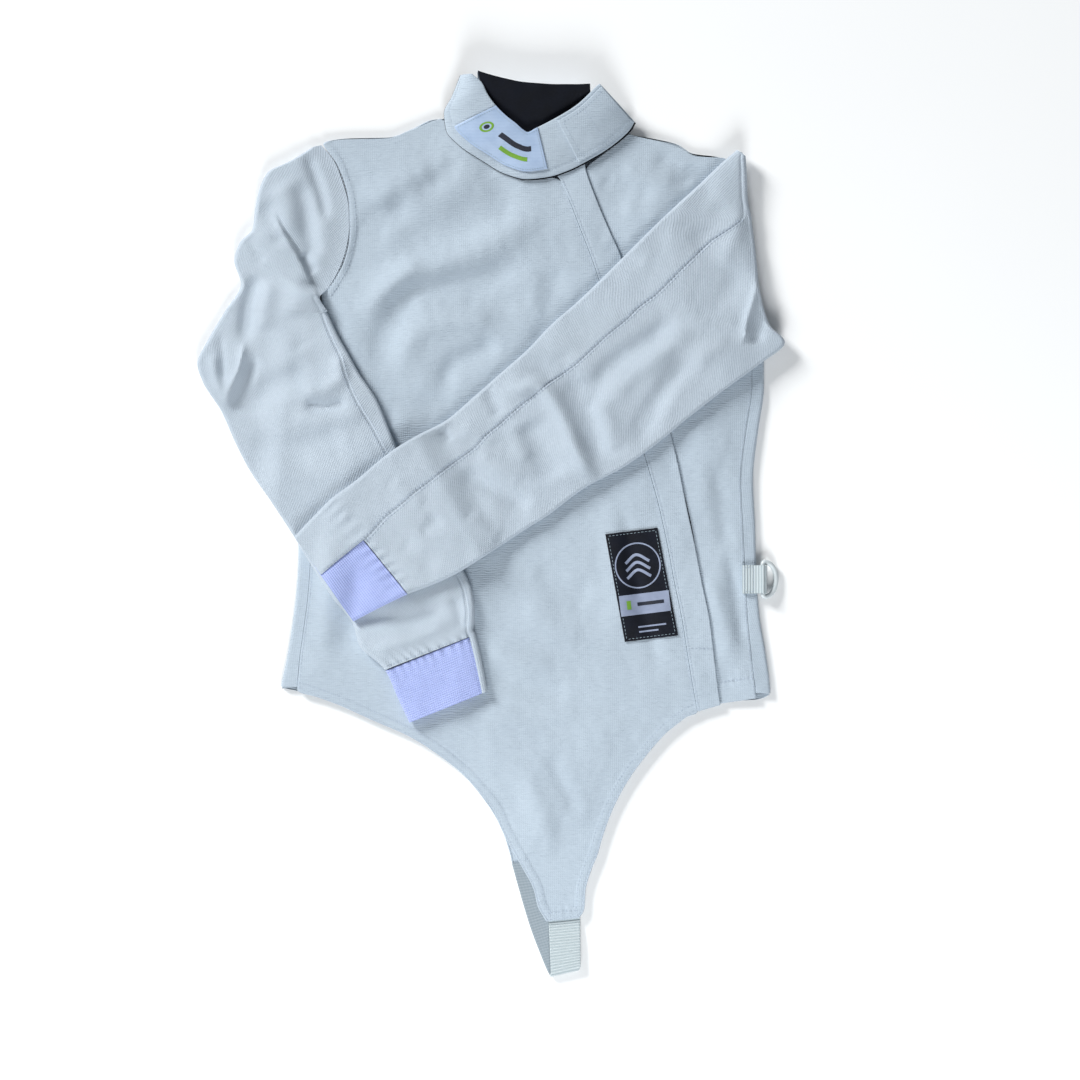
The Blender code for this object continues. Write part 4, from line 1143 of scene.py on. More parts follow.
@dataclass
class Wardrobe:
    """Every finish of the jacket, built once."""

    body: CrepeCloth = CrepeCloth("crepe_woven_jacket_cloth", "#B4C1CD", 0.84)
    sleeve: TwillKnit = TwillKnit("double_knit_sleeve_cloth", "#BFCAD5", 0.78)
    cuff: RibKnit = RibKnit("elastic_cuff_knit", "#B3C0EF", 0.82)
    webbing: RibKnit = RibKnit("ribbed_polyester_webbing", "#D0D9DC", 0.74, shade="#A9B6BB",
                               across_mm=1.6, along_mm=2.6, across_share=0.08,
                               fuzz_share=0.15, depth_mm=0.5)
    # The rear leg's finish: flatter ribs for the band's unribbed inside, and darker colours that are
    # painted shade
    webbing_back: RibKnit = RibKnit("flat_webbing_underside_painted_shade", "#98A3AB", 0.8, shade="#86929B",
                                    across_mm=2.6, along_mm=2.6, across_share=0.3,
                                    fuzz_share=0.3, depth_mm=0.15)
    lining: SatinWeave = SatinWeave("navy_satin_lining", "#0A0F1C", 0.7, specular=0.15)
    label: SatinWeave = SatinWeave("black_woven_label", "#0A1020", 0.6, specular=0.2)
    collar_label: SatinWeave = SatinWeave("pale_satin_label", "#B3C6E0", 0.42,
                                          shade="#98AECD", thread_mm=1.3)
    motif: SatinWeave = SatinWeave("pale_motif_weave", "#9BA5BE", 0.55, shade="#7C869E")
    green: SatinWeave = SatinWeave("green_motif_weave", "#7FB236", 0.55, shade="#5E8A26")
    navy: SatinWeave = SatinWeave("navy_motif_weave", "#1C2236", 0.55, shade="#10141F")
    thread: SewingThread = SewingThread("white_sewing_thread", "#D5DFEA", 0.6)
    pale_thread: SewingThread = SewingThread("pale_border_thread", "#A9C0C4", 0.6)
    ring: Moulded = Moulded("moulded_acetal_ring", "#DDE4E6", 0.34)
    made: dict = field(default_factory=dict)

    def get(self, name: str) -> bpy.types.Material:
        """The material of one finish, built the first time that it is asked for."""
        if name not in self.made:
            self.made[name] = getattr(self, name).build()
        return self.made[name]


def place(piece: bpy.types.Object, node: str | None, slot: str, body: str = JACKET) -> None:
    """Let a piece ride on its body and stand for its CAD node.

    Args:
        piece: the finished piece.
        node: the CAD node that it stands for, if there is one.
        slot: the record's material slot; not used.
        body: the CAD body that it moves with.
    """
    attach(piece, body)
    if node is not None:
        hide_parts(node)
    LOG.info("%s: %d faces on %s", piece.name, len(piece.data.polygons), body)


def lay_out(piece: bpy.types.Object, wall: Wall,
            with_pieces: tuple[bpy.types.Object, ...] = ()) -> None:
    """Declare a piece as a sheet, cut to the size that its outer face has when it is laid out.

    Args:
        piece: the finished piece.
        wall: its two faces, which give the cut.
        with_pieces: separate pieces on it; not used.
    """
    width, length, area = wall.cut()
    width = max(width, NARROWEST * MM)
    LOG.info("%s: cut %.0f x %.0f mm, %.0f square cm", piece.name, width / MM, length / MM,
             area * 1e4)


def sewn_on(work: Wall | Stitching, finish: bpy.types.Material, slot: str) -> bpy.types.Object:
    """Build a piece that lies on a panel, and let it ride on the jacket.

    Args:
        work: a wall or a set of stitch rows.
        finish: its material.
        slot: the record's material slot.

    Returns:
        The piece.
    """
    piece = work.build(finish)
    place(piece, None, slot)
    return piece


def wall_about(name: str, middle: Array, wall: float, grain: Array) -> Wall:
    """A wall with half its thickness on each side of a face, and rounded side edges.

    Half the wall, less a quarter circle near both sides, is laid off along the face's normals.

    Args:
        name: the piece's name.
        middle: the face between its two faces.
        wall: its thickness.
        grain: lengths across and along it.

    Returns:
        The wall.
    """
    normal = normals_of(middle)
    reach = lengths_along(middle, 1)
    depth = np.minimum(reach, reach[:, -1:] - reach)
    half = (wall / 2 - rolled(depth, EDGE_ROUND * wall))[..., None]
    return Wall(name, middle + normal * half, middle - normal * half, grain)


def strip_wall(name: str, line: Array, width: float, top: Height, wall: float) -> Wall:
    """A narrow strip of cloth or thread work that follows a line in the plane.

    Its sections stand square to the line, half the width to each side.
    """
    shares = np.array([-0.5, -0.42, -0.2, 0.2, 0.42, 0.5]) * width
    flat = np.stack([offset_line(line, -share) for share in shares], axis=1)
    return laid_wall(name, flat, top(flat), wall)


@dataclass
class Stitching:
    """Rows of sewing stitches, joined to one mesh for each part of the jacket."""

    name: str
    length: float = 2.7
    pitch: float = 3.6
    width: float = 0.62
    lift: float = 0.1
    lines: list = field(default_factory=list)

    def along(self, line: Array) -> None:
        """Take a line in space to be stitched."""
        self.lines.append(np.asarray(line, float))

    def on(self, line: Array, top: Height) -> None:
        """Take a line in the plane to be stitched on a height."""
        line = np.asarray(line, float)
        reach = lengths_along(line)
        even = np.linspace(0.0, reach[-1], max(int(reach[-1] / STITCH_SAMPLE), 2))
        flat = np.stack([np.interp(even, reach, line[:, axis]) for axis in (0, 1)], axis=1)
        self.along(np.concatenate([flat, top(flat)[:, None]], axis=1))

    def build(self, finish: bpy.types.Material) -> bpy.types.Object:
        """One small bar for each stitch, thick in the middle and sunk at both ends.

        A stitch has four rings of four points along its line. They are laid off from its middle
        by its direction, by the level line square to it and by the line square to both.
        """
        centres, headings = [], []
        for line in self.lines:
            reach = lengths_along(line)
            even = np.arange(self.pitch / 2, reach[-1], self.pitch)
            both = [np.stack([np.interp(even + shift, reach, line[:, axis]) for axis in range(3)], 1)
                    for shift in (-0.8, 0.8)]
            centres.append((both[0] + both[1]) / 2)
            headings.append(both[1] - both[0])
        centre, heading = np.vstack(centres), unit_of(np.vstack(headings))
        side = unit_of(np.cross(np.array([0.0, 0.0, 1.0]), heading))
        up = np.cross(heading, side)
        run = np.repeat([-0.5, -0.28, 0.28, 0.5], 4) * self.length
        thick = np.repeat([0.45, 1.0, 1.0, 0.45], 4) * self.width / 2
        sink = np.repeat([-0.22, 0.0, 0.0, -0.22], 4) + self.lift
        turn = np.tile([0.25, 0.75, 1.25, 1.75], 4) * math.pi
        points = centre[:, None] + heading[:, None] * run[:, None]
        points = points + side[:, None] * (thick * np.cos(turn))[:, None]
        points = points + up[:, None] * (thick * np.sin(turn) + sink)[:, None]
        ring = np.arange(4)
        walls = [np.stack([ring + 4 * k, np.roll(ring, -1) + 4 * k,
                           np.roll(ring, -1) + 4 * k + 4, ring + 4 * k + 4], -1) for k in range(3)]
        template = np.vstack([*walls, [[3, 2, 1, 0], [12, 13, 14, 15]]])
        faces = (template[None] + 16 * np.arange(len(centre))[:, None, None]).reshape(-1, 4)
        grain = np.tile(np.stack([turn, run], 1), (len(centre), 1))
        return write_mesh(self.name, points.reshape(-1, 3), faces, finish, grain)


@dataclass
class Body:
    """Back, both fronts, placket and fly tape."""

    lie: Lie
    wardrobe: Wardrobe
    fly_top: tuple[float, float, float, float] = (53.0, 329.0, 85.0, 341.0)
    flat_turn: float = 0.12
    tape_width: float = 7.0
    tape_peek: float = 3.4
    tape_back: float = 2.5
    tape_middle_y: float = 5.0
    tape_spread: float = 50.0
    tape_cloth: float = 0.5
    tape_lift: float = 0.15
    walls: dict = field(default_factory=dict)
    pieces: dict = field(default_factory=dict)

    def back(self) -> Wall:
        """The back: flat below, and folded up round both sides to the side seams on the front.

        Each section runs from the left seam over a half circle to the table, across, and up the
        other side. Where it doesn't wrap, the half circle turns by a small share only.
        """
        span, last = len(BODY) - 1, len(LEFT_FRONT) - 1
        places = np.unique(np.concatenate([np.linspace(0, span, 8 * span + 1),
                                           [FIRST_WRAP - 0.06, LAST_WRAP + 0.06]]))
        rows = eased_rows(BODY, places)
        left, right = rows[:, :2], rows[:, 2:]
        inward = unit_of(right - left)
        wraps = (places >= FIRST_WRAP - 0.03) & (places <= LAST_WRAP + 0.03)
        wrap = np.where(wraps, 1.0, self.flat_turn)
        seams = (eased_rows(FRONT, np.clip(places - WRAP_TO_FRONT, 0, None))[:, :2],
                 eased_rows(LEFT_FRONT, np.clip(places - WRAP_TO_LEFT_FRONT, 0, last))[:, 2:])
        halves = []
        for end, facing, seam in ((left, inward, seams[0]), (right, -inward, seams[1])):
            seam = np.where(wraps[:, None], seam - facing * SEAM_GAP, end + facing * STRIP_WIDTH)
            halves.append(self.side(end, facing, seam, wrap))
        shares = np.linspace(0.0, 1.0, 26)[None, 1:-1, None]
        flat = between(left[:, None], right[:, None], shares)
        under = np.concatenate([flat, np.zeros(flat.shape[:2] + (1,))], axis=-1)
        outer = np.concatenate([halves[0], under, halves[1][:, ::-1]], axis=1)
        grain = np.stack([lengths_along(outer, 1), outer[..., 1]], axis=-1)
        inner = thickened(outer, -BACK_CLOTH)
        inner[..., 2] = np.where(outer[..., 2] < 0.01, BACK_CLOTH, inner[..., 2])
        return Wall("back_panel", outer, inner, grain)

    def side(self, end: Array, facing: Array, seam: Array, wrap: Array) -> Array:
        """One side of the back's sections, from the seam down round the fold to the table."""
        centre = end + facing * SIDE_ROUND
        turn = (math.pi * wrap)[:, None]
        run = (np.linalg.norm(seam - centre, axis=1) * wrap)[:, None]
        shares = np.array([0.0, 0.03, 0.1, 0.25, 0.4, 0.55, 0.7, 0.85])[None]
        rest = run * (1.0 - shares)
        top = centre - facing * SIDE_ROUND * np.sin(turn)
        flat = top[:, None] - facing[:, None] * (rest * np.cos(turn))[..., None]
        rise = SIDE_ROUND - SIDE_ROUND * np.cos(turn) + rest * np.sin(turn)
        full = (wrap > 0.9)[:, None]
        fall = rolled(run * shares, 0.5)
        rise = np.where(full, self.lie.front_top(flat) - fall, rise)
        angle = turn * np.linspace(1.0, 0.0, 11)[None]
        bend = centre[:, None] - facing[:, None] * (SIDE_ROUND * np.sin(angle))[..., None]
        height = SIDE_ROUND - SIDE_ROUND * np.cos(angle)
        flat, rise = np.concatenate([flat, bend], axis=1), np.concatenate([rise, height], axis=1)
        return np.concatenate([flat, rise[..., None]], axis=-1)

    def tape(self) -> Wall:
        """The fly's dark tape, which shows along the middle of the placket's free edge."""
        edge = eased_path(PLACKET_EDGE[2:-2], 5)
        peek = self.tape_peek * np.exp(-(((edge[:, 1] - self.tape_middle_y) / self.tape_spread) ** 2))
        right = edge[:, 0] + peek - self.tape_back
        shares = np.linspace(0.0, 1.0, 6)
        x = edge[:, :1] - self.tape_width + (right - edge[:, 0] + self.tape_width)[:, None] * shares
        flat = np.stack([x, np.broadcast_to(edge[:, 1:], x.shape)], axis=-1)
        top = self.lie.left_front_top(flat) + self.tape_cloth + self.tape_lift
        return laid_wall("fly_tape", flat, top, self.tape_cloth)

    def build(self) -> None:
        """Build every panel and its stitches."""
        lie, cloth = self.lie, self.wardrobe.get("body")
        flat = rung_grid(FRONT, 112, 7, (0.0, SEAM_GAP / 2))
        seam_rows = FRONT[PLACKET_FIRST : PLACKET_LAST + 1, 2:]
        fly = np.vstack([self.fly_top, np.hstack([seam_rows, PLACKET_EDGE])])
        placket = rung_grid(fly, 14, 12, (SEAM_GAP / 2, 0.0))
        left = rung_grid(LEFT_FRONT, 44, 9)
        self.walls = {
            "back": self.back(),
            "front_right": laid_wall("right_front", flat, lie.dressed_front(flat), CLOTH),
            "placket": laid_wall("fly_placket", placket, lie.placket_top(placket), CLOTH),
            "front_left": laid_wall("left_front", left, lie.left_front_top(left), CLOTH),
        }
        for node, wall in self.walls.items():
            self.pieces[node] = wall.build(cloth)
            place(self.pieces[node], node, "jacket_cloth")
        self.walls["zip_tape"] = self.tape()
        self.pieces["zip_tape"] = self.walls["zip_tape"].build(self.wardrobe.get("lining"))
        place(self.pieces["zip_tape"], "zip_tape", "navy_lining")

    def sew(self) -> None:
        """Stitch the hems, the armhole band, the placket and the side seams, then lay out."""
        lie, thread = self.lie, self.wardrobe.get("thread")
        front = Stitching("front_stitches")
        for row in lie.front_hem.rows:
            front.on(offset_line(lie.front_hem.line, row), lie.dressed_front)
        armhole = lie.armhole.line
        for row in lie.armhole.rows:
            front.on(offset_line(armhole[2:-3], row), lie.dressed_front)
        seam = eased_path(FRONT[PLACKET_FIRST : PLACKET_LAST + 1, 2:], 4)
        front.on(offset_line(seam, -2.2), lie.dressed_front)
        side = eased_path(FRONT[PLACKET_FIRST + 7 : HEM_FIRST + 1, :2], 4)
        front.on(offset_line(side, 1.8), lie.dressed_front)
        placket = Stitching("placket_stitches")
        placket.on(offset_line(seam, 1.8), lie.placket_top)
        end = np.array([FRONT[HEM_FIRST - 1, 2:] + (2.0, 6.0), PLACKET_EDGE[-3] + (-2.0, 6.0)])
        placket.on(end, lie.placket_top)
        left = Stitching("left_front_stitches")
        for row in lie.left_hem.rows:
            left.on(offset_line(lie.left_hem.line, row), lie.left_front_top)
        side = eased_path(LEFT_FRONT[12:, 2:], 4)
        left.on(offset_line(side, -1.8), lie.left_front_top)
        for node, work, held_on in (("front_right", front, ["back_panel"]),
                                    ("placket", placket, ["left_front", "right_front"]),
                                    ("front_left", left, ["back_panel"])):
            piece = sewn_on(work, thread, "jacket_cloth")
            lay_out(self.pieces[node], self.walls[node], (piece,))
        lay_out(self.pieces["back"], self.walls["back"])
        lay_out(self.pieces["zip_tape"], self.walls["zip_tape"])


@dataclass
class Sleeve:
    """A flattened sleeve: main panel, strip along its upper fold, and elastic cuff."""

    side: str
    rows: Array
    under: Height
    folds: tuple[Fold, ...]
    wrist: int
    lie: Lie
    wardrobe: Wardrobe
    seed: int
    armhole: int = -1
    wrist_gap: float = 0.02
    puff: float = 1.4
    gather: float = 0.75
    gather_mm: float = 8.5
    fold_clear: float = 1.2
    seam_sink: float = 0.75
    seam_sink_width: float = 1.5
    walls: dict = field(default_factory=dict)
    pieces: dict = field(default_factory=dict)

    def stations(self, places: Array, thick: float) -> tuple[Array, ...]:
        """Strip-side end, direction, width, fold radius, seam and climb of each section."""
        rows = eased_rows(self.rows, places)
        start, run = rows[:, :2], rows[:, 2:4] - rows[:, :2]
        width = np.linalg.norm(run, axis=1)
        radius = np.minimum(thick / 2, 0.3 * width)
        low, high = (radius + self.fold_clear) / width, 1.0 - (radius + 2.0) / width
        seam = np.minimum(np.maximum(rows[:, 4], low), high)
        return start, run / width[:, None], width, radius, seam, rows[:, 5]

    def levels(self, points: Array, places: Array, climb: Array, share: Array,
               thick: float) -> tuple[Array, Array]:
        """Heights of the lower and the upper face.

        The upper face is the lower one plus the sleeve's thickness, its folds, a crown across it
        and small gathers that fade away from the wrist. Beside the armhole it comes down to the
        front's edge.
        """
        low = self.under(points) * climb[:, None]
        loose = slack(points, 38.0, 0.42, self.seed)
        crown = self.puff * (1.0 - (2.0 * share - 1.0) ** 2)
        from_wrist = np.abs(self.wrist - places)[:, None] * 24.0
        ripple = np.sin(share * 2.0 * math.pi * 90.0 / self.gather_mm + 1.5 * np.sin(share * 9.0))
        loose = loose + self.gather * ripple * np.exp(-((from_wrist / 11.0) ** 2))
        high = low + thick + heights_of(self.folds, points) + loose + crown
        if self.armhole > 0:
            beyond = smooth(outside(points, self.lie.body) / CAP_RUN)
            cap = 1.0 - smooth(places - (self.armhole - 1.0))[:, None]
            flat = (FRONT_EDGE_Z + low) * (1.0 - beyond) + high * beyond
            high = high * (1.0 - cap) + flat * cap
        return low, soft_floor(high, low + 2.0 * CLOTH + LAYER_GAP, 1.2)

    def section(self, name: str, places: Array, top: tuple, bottom: tuple, thick: float,
                wall: float, around_end: bool = True) -> Wall:
        """Part of the tube: along the top, round one fold, and back along the bottom.

        Args:
            name: the piece's name.
            places: row numbers of its sections.
            top: first and last share of the width, for each section, and the count of points.
            bottom: the same for the lower face.
            thick: height of the flattened tube.
            wall: thickness of its cloth.
            around_end: whether it goes round the far fold, or round the strip's own.

        Returns:
            The wall.
        """
        start, unit, width, radius, seam, climb = self.stations(places, thick)
        low_limit = np.where(places < self.armhole + 1 - 0.01, -0.8, radius)
        lengths, lifts = [], []
        angle = np.linspace(0.0, math.pi, 15)[1:-1]
        turn_at, sign = (width - radius, 1.0) if around_end else (radius, -1.0)
        for (first, last, count), lift in ((top, 1.0), (bottom, 0.0)):
            ends = [np.clip(edge * width, low_limit, width - radius) for edge in (first, last)]
            share = edge_places(90.0, count, 0.2)[None]
            lengths.append(between(ends[0][:, None], ends[1][:, None], share))
            lifts.append(np.full(share.shape[1], lift))
        arc = turn_at[:, None] + sign * radius[:, None] * np.sin(angle)[None]
        along = np.concatenate([lengths[0], arc, lengths[1]], axis=1)
        lift = np.concatenate([lifts[0], (1.0 + np.cos(angle)) / 2, lifts[1]])[None]
        held = np.clip(along, low_limit[:, None], (width - radius)[:, None])
        flat = start[:, None] + unit[:, None] * held[..., None]
        low, high = self.levels(flat, places, climb, held / width[:, None], thick)
        sewn = places > max(self.armhole, 0)
        near = np.where(sewn[:, None], np.abs(along - (seam * width)[:, None]), 99.0)
        high = high - self.seam_sink * np.exp(-((near / self.seam_sink_width) ** 2))
        points = start[:, None] + unit[:, None] * along[..., None]
        outer = np.concatenate([points, (low + (high - low) * lift)[..., None]], axis=-1)
        across = lengths_along(outer, 1)
        down = lengths_along(start + unit * width[:, None] / 2)[:, None]
        grain = np.stack([across, np.broadcast_to(down, across.shape)], axis=-1)
        inner = thickened(outer, wall)
        if inner[:, :8, 2].mean() > outer[:, :8, 2].mean():
            inner = thickened(outer, -wall)
        return Wall(name, outer, inner, grain)

    def build(self) -> None:
        """Build the main panel, the strip and the cuff, and dress them."""
        last = len(self.rows) - 1
        begin = max(self.armhole, 0)
        main = np.concatenate([np.linspace(0, self.wrist - 0.06, 9 * self.wrist),
                               [self.wrist - self.wrist_gap]])
        strip = np.linspace(begin + (0.9 if self.armhole > 0 else 0), last, 9 * (last - begin))
        cuff = np.linspace(self.wrist + self.wrist_gap, last, 26)
        self.walls = {
            f"sleeve_{self.side}": self.main_wall(main),
            f"sleeve_strip_{self.side}": self.strip_wall(strip),
            f"cuff_{self.side}": self.cuff_wall(cuff),
        }
        slots = ("sleeve_cloth", "sleeve_cloth", "cuff_knit")
        for (node, wall), slot, finish in zip(self.walls.items(), slots,
                                              ("sleeve", "sleeve", "cuff")):
            self.pieces[node] = wall.build(self.wardrobe.get(finish))
            place(self.pieces[node], node, slot)

    def main_wall(self, places: Array) -> Wall:
        """The main panel, from the strip's seam round the far fold to the lower seam."""
        _, _, width, radius, seam, _ = self.stations(places, SLEEVE_THICK)
        whole = places < self.armhole + 1 - 0.01
        gap = SEAM_GAP / width
        below = np.maximum(LOWER_SEAM, (radius + self.fold_clear) / width)
        first = np.where(whole, -0.8 / width, seam + gap)
        end = np.where(whole, 0.0, below + gap)
        one = np.ones_like(width)
        return self.section(f"{self.side}_sleeve", places, (first, one, 70), (one, end, 26),
                            SLEEVE_THICK, CLOTH)

    def strip_wall(self, places: Array) -> Wall:
        """The strip, from its seam on the upper face round the near fold to the lower seam."""
        _, _, width, radius, seam, _ = self.stations(places, SLEEVE_THICK)
        gap = SEAM_GAP / width
        below = np.maximum(LOWER_SEAM, (radius + self.fold_clear) / width) - gap
        none = np.zeros_like(width)
        return self.section(f"{self.side}_sleeve_strip", places, (seam - gap, none, 22),
                            (none, below, 8), SLEEVE_THICK, CLOTH, False)

    def cuff_wall(self, places: Array) -> Wall:
        """The cuff closes the tube beside the strip, clear of the strip's two edges."""
        _, _, width, _, seam, _ = self.stations(places, CUFF_THICK)
        gap = 2.0 * SEAM_GAP / width
        fold = (SLEEVE_THICK / 2 + self.fold_clear) / width
        wide, seam = np.maximum(LOWER_SEAM, fold), np.maximum(seam, fold)
        one = np.ones_like(width)
        return self.section(f"{self.side}_cuff", places, (seam + gap, one, 46),
                            (one, wide + gap, 20), CUFF_THICK, KNIT)

    def top_line(self, places: Array, share: Array, shift: float) -> Array:
        """A line in space on the sleeve's upper face, at a share of each section's width."""
        start, unit, width, radius, _, climb = self.stations(places, SLEEVE_THICK)
        along = np.clip(share * width + shift, radius, width - radius)
        flat = (start + unit * along[:, None])[:, None]
        high = self.levels(flat, places, climb, (along / width)[:, None], SLEEVE_THICK)[1]
        return np.concatenate([flat[:, 0], high], axis=1)

    def sew(self, rests_on: list[str]) -> None:
        """Stitch both sides of the strip's seam and the wrist, then lay out."""
        work = Stitching(f"{self.side}_sleeve_stitches")
        begin = (self.armhole + 1 if self.armhole > 0 else 3) + 0.2
        places = np.linspace(begin, len(self.rows) - 1.1, 160)
        seam = self.stations(places, SLEEVE_THICK)[4]
        for shift in (-2.0, 2.0):
            shown = places < (len(self.rows) if shift < 0 else self.wrist)
            work.along(self.top_line(places[shown], seam[shown], shift))
        across = np.linspace(0.0, 1.0, 60)
        wrist = self.stations(np.array([self.wrist - 0.12]), SLEEVE_THICK)[4]
        share = wrist + (1.0 - wrist) * across
        work.along(self.top_line(np.full(60, self.wrist - 0.12), share, 0.0))
        piece = sewn_on(work, self.wardrobe.get("thread"), "sleeve_cloth")
        for node, wall in self.walls.items():
            own = (piece,) if node == f"sleeve_{self.side}" else ()
            lay_out(self.pieces[node], wall, own)


@dataclass
class Collar:
    """Standing collar laid down in front: band, closing tab, label, dark edge, lining, back."""

    lie: Lie
    wardrobe: Wardrobe
    band_cloth: float = 2.2
    tab_cloth: float = 1.6
    patch: float = 1.0
    patch_lift: float = 0.45
    stitch_in: float = 0.13
    row_mm: float = 19.0
    band_mm: float = 46.0
    edging_cloth: float = 0.6
    edging_lift: float = 1.65
    edging_depth: float = 6.0
    lining_cloth: float = 1.2
    lining_top: float = 24.0
    lining_fall: float = 14.4
    back_cloth: float = 1.7
    back_top: float = 22.2
    back_foot: float = 2.9
    back_depth: float = 24.0
    walls: dict = field(default_factory=dict)
    pieces: dict = field(default_factory=dict)

    def height(self, points: Array, share: Array, top_z: Array) -> Array:
        """Upper face of the band: its lip lies above the front and its top edge stands up.

        The rise from lip to top follows a quarter of a sine, with a groove at the lip's stitches.
        """
        lip = self.lie.front_top(points) + COLLAR_LIP_LIFT
        groove = 0.45 * np.exp(-(((share - self.stitch_in) / 0.022) ** 2))
        loose = slack(points, 26.0, 0.3, 11)
        return lip + (top_z - lip) * np.sin(share * math.pi / 2) - groove + loose

    def points(self, places: Array, shares: Array, lift: float) -> tuple[Array, Array]:
        """Places on the band at row numbers and shares from lip to top edge, and their height."""
        rows = eased_rows(COLLAR, places)
        share = np.broadcast_to(shares, (len(places), len(shares)))
        flat = between(rows[:, None, :2], rows[:, None, 2:4], share[..., None])
        return flat, self.height(flat, share, rows[:, 4:5]) + lift

    def patch_wall(self, name: str, span: tuple[float, float], shares: tuple[float, float],
                   lift: float, wall: float) -> Wall:
        """A patch on the band, made from the band's own points moved out."""
        places = span[0] + (span[1] - span[0]) * edge_places(60.0, 54, 0.3)
        across = shares[0] + (shares[1] - shares[0]) * edge_places(45.0, 30, 0.3)
        flat, top = self.points(places, across, lift + wall)
        return laid_wall(name, flat, top, wall)

    def line(self, places: Array, shares: Array, lift: float) -> Array:
        """A line in space on the band."""
        rows = eased_rows(COLLAR, places)
        flat = between(rows[:, :2], rows[:, 2:4], shares[:, None])
        return np.concatenate([flat, self.height(flat[:, None], shares[:, None], rows[:, 4:5])
                               + lift], axis=1)

    def build(self) -> None:
        """Build the collar's pieces."""
        cloth, lining = self.wardrobe.get("body"), self.wardrobe.get("lining")
        places = (len(COLLAR) - 1.0) * edge_places(300.0, 150, 0.3)
        flat, top = self.points(places, edge_places(45.0, 44, 0.3), 0.0)
        self.walls["collar_front"] = laid_wall("collar_band", flat, top, self.band_cloth)
        self.walls["collar_tab"] = self.patch_wall("closing_tab", (9.6, 13.8), (0.05, 0.93),
                                                   self.patch_lift, self.tab_cloth)
        self.walls["collar_label"] = self.patch_wall("satin_label", (3.0, 8.1), (0.16, 1.0),
                                                     self.patch_lift, self.patch)
        self.walls["collar_edging"] = self.edging()
        self.walls["collar_lining"] = self.lining()
        self.walls["collar_back"] = self.back()
        finishes = {"collar_front": (cloth, "jacket_cloth"), "collar_tab": (cloth, "jacket_cloth"),
                    "collar_label": (self.wardrobe.get("collar_label"), "satin_label"),
                    "collar_edging": (lining, "navy_lining"),
                    "collar_lining": (lining, "navy_lining"),
                    "collar_back": (cloth, "jacket_cloth")}
        for node, wall in self.walls.items():
            self.pieces[node] = wall.build(finishes[node][0])
            place(self.pieces[node], node, finishes[node][1])

    def edging(self) -> Wall:
        """The lining's edge, which peeks out under the lip by a varying amount."""
        rows = eased_path(COLLAR[:, :4], 8)
        lip, top = rows[:, :2], rows[:, 2:4]
        outward = unit_of(lip - top)
        place_on = np.linspace(0.0, 14.0, len(rows))
        peek = 0.35 + 0.9 * smooth((place_on - 5.0) / 3.0) + 0.5 * smooth((place_on - 11.0) / 2.0)
        shares = edge_places(8.0, 6, 0.15)[:, None]
        near, far = lip + outward * peek[:, None], lip - outward * self.edging_depth
        flat = between(near[:, None], far[:, None], shares)
        top = self.lie.front_top(flat) + self.edging_lift
        return laid_wall("lining_edge", flat, top, self.edging_cloth)

    def lining(self) -> Wall:
        """The dark lining inside the neck, hollow between the back's edge and the front band."""
        rows = eased_path(COLLAR_BACK, 9)
        shares = edge_places(50.0, 34, 0.3)
        flat = between(rows[:, None, :2], rows[:, None, 2:], shares[:, None])
        top = self.lining_top - self.lining_fall * smooth(shares)[None]
        top = top + slack(flat, 30.0, 0.35, 5)
        return laid_wall("neck_lining", flat, top, self.lining_cloth)

    def back(self) -> Wall:
        """The back of the collar: a low band that stands between its top edge and its foot."""
        rows = eased_path(COLLAR_BACK, 9)[:, :2]
        shares = np.linspace(0.0, 1.0, 16)
        lean = 1.0 + 13.0 * shares - 9.0 * np.sin(shares * math.pi) * 0.5
        y = rows[:, 1:] - lean
        z = np.broadcast_to(self.back_top + (self.back_foot - self.back_top) * shares, y.shape)
        x = np.broadcast_to(rows[:, :1], y.shape)
        middle = np.stack([x, y, z], axis=-1)
        grain = np.stack([x, np.broadcast_to(shares * self.back_depth, y.shape)], axis=-1)
        return wall_about("neck_band", middle, self.back_cloth, grain)

    def sew(self) -> None:
        """Stitch the lip, the tab's rectangle and the label's border, then lay out."""
        lip = Stitching("collar_stitches", length=2.4, pitch=3.3, width=0.55)
        places = np.linspace(0.3, 13.7, 220)
        lip.along(self.line(places, np.full(220, self.stitch_in), 0.0))
        self.trace(lip, (((9.85, 13.6), (0.11, 0.11)), ((9.85, 13.6), (0.86, 0.86)),
                         ((9.85, 9.85), (0.11, 0.86)), ((11.2, 11.2), (0.11, 0.86))),
                   self.patch_lift + self.tab_cloth)
        border = Stitching("collar_label_border", length=1.7, pitch=2.3, width=0.5)
        self.trace(border, (((3.15, 7.95), (0.2, 0.2)), ((3.15, 3.15), (0.2, 0.96)),
                            ((7.95, 7.95), (0.2, 0.96)), ((3.15, 7.95), (0.95, 0.95))),
                   self.patch_lift + self.patch)
        piece = sewn_on(lip, self.wardrobe.get("thread"), "jacket_cloth")
        edge = sewn_on(border, self.wardrobe.get("pale_thread"), "satin_label")
        motifs = self.motifs()
        extra = {"collar_front": (piece,), "collar_label": (edge, *motifs)}
        for node, wall in self.walls.items():
            lay_out(self.pieces[node], wall, extra.get(node, ()))

    def trace(self, work: Stitching, runs: tuple, lift: float) -> None:
        """Stitch straight runs on the band.

        Args:
            work: the stitch rows that take them.
            runs: first and last row number, and first and last share, of each run.
            lift: how far they lie above the band.
        """
        even = np.linspace(0.0, 1.0, 40)
        for span, shares in runs:
            work.along(self.line(span[0] + (span[1] - span[0]) * even,
                                 shares[0] + (shares[1] - shares[0]) * even, lift))

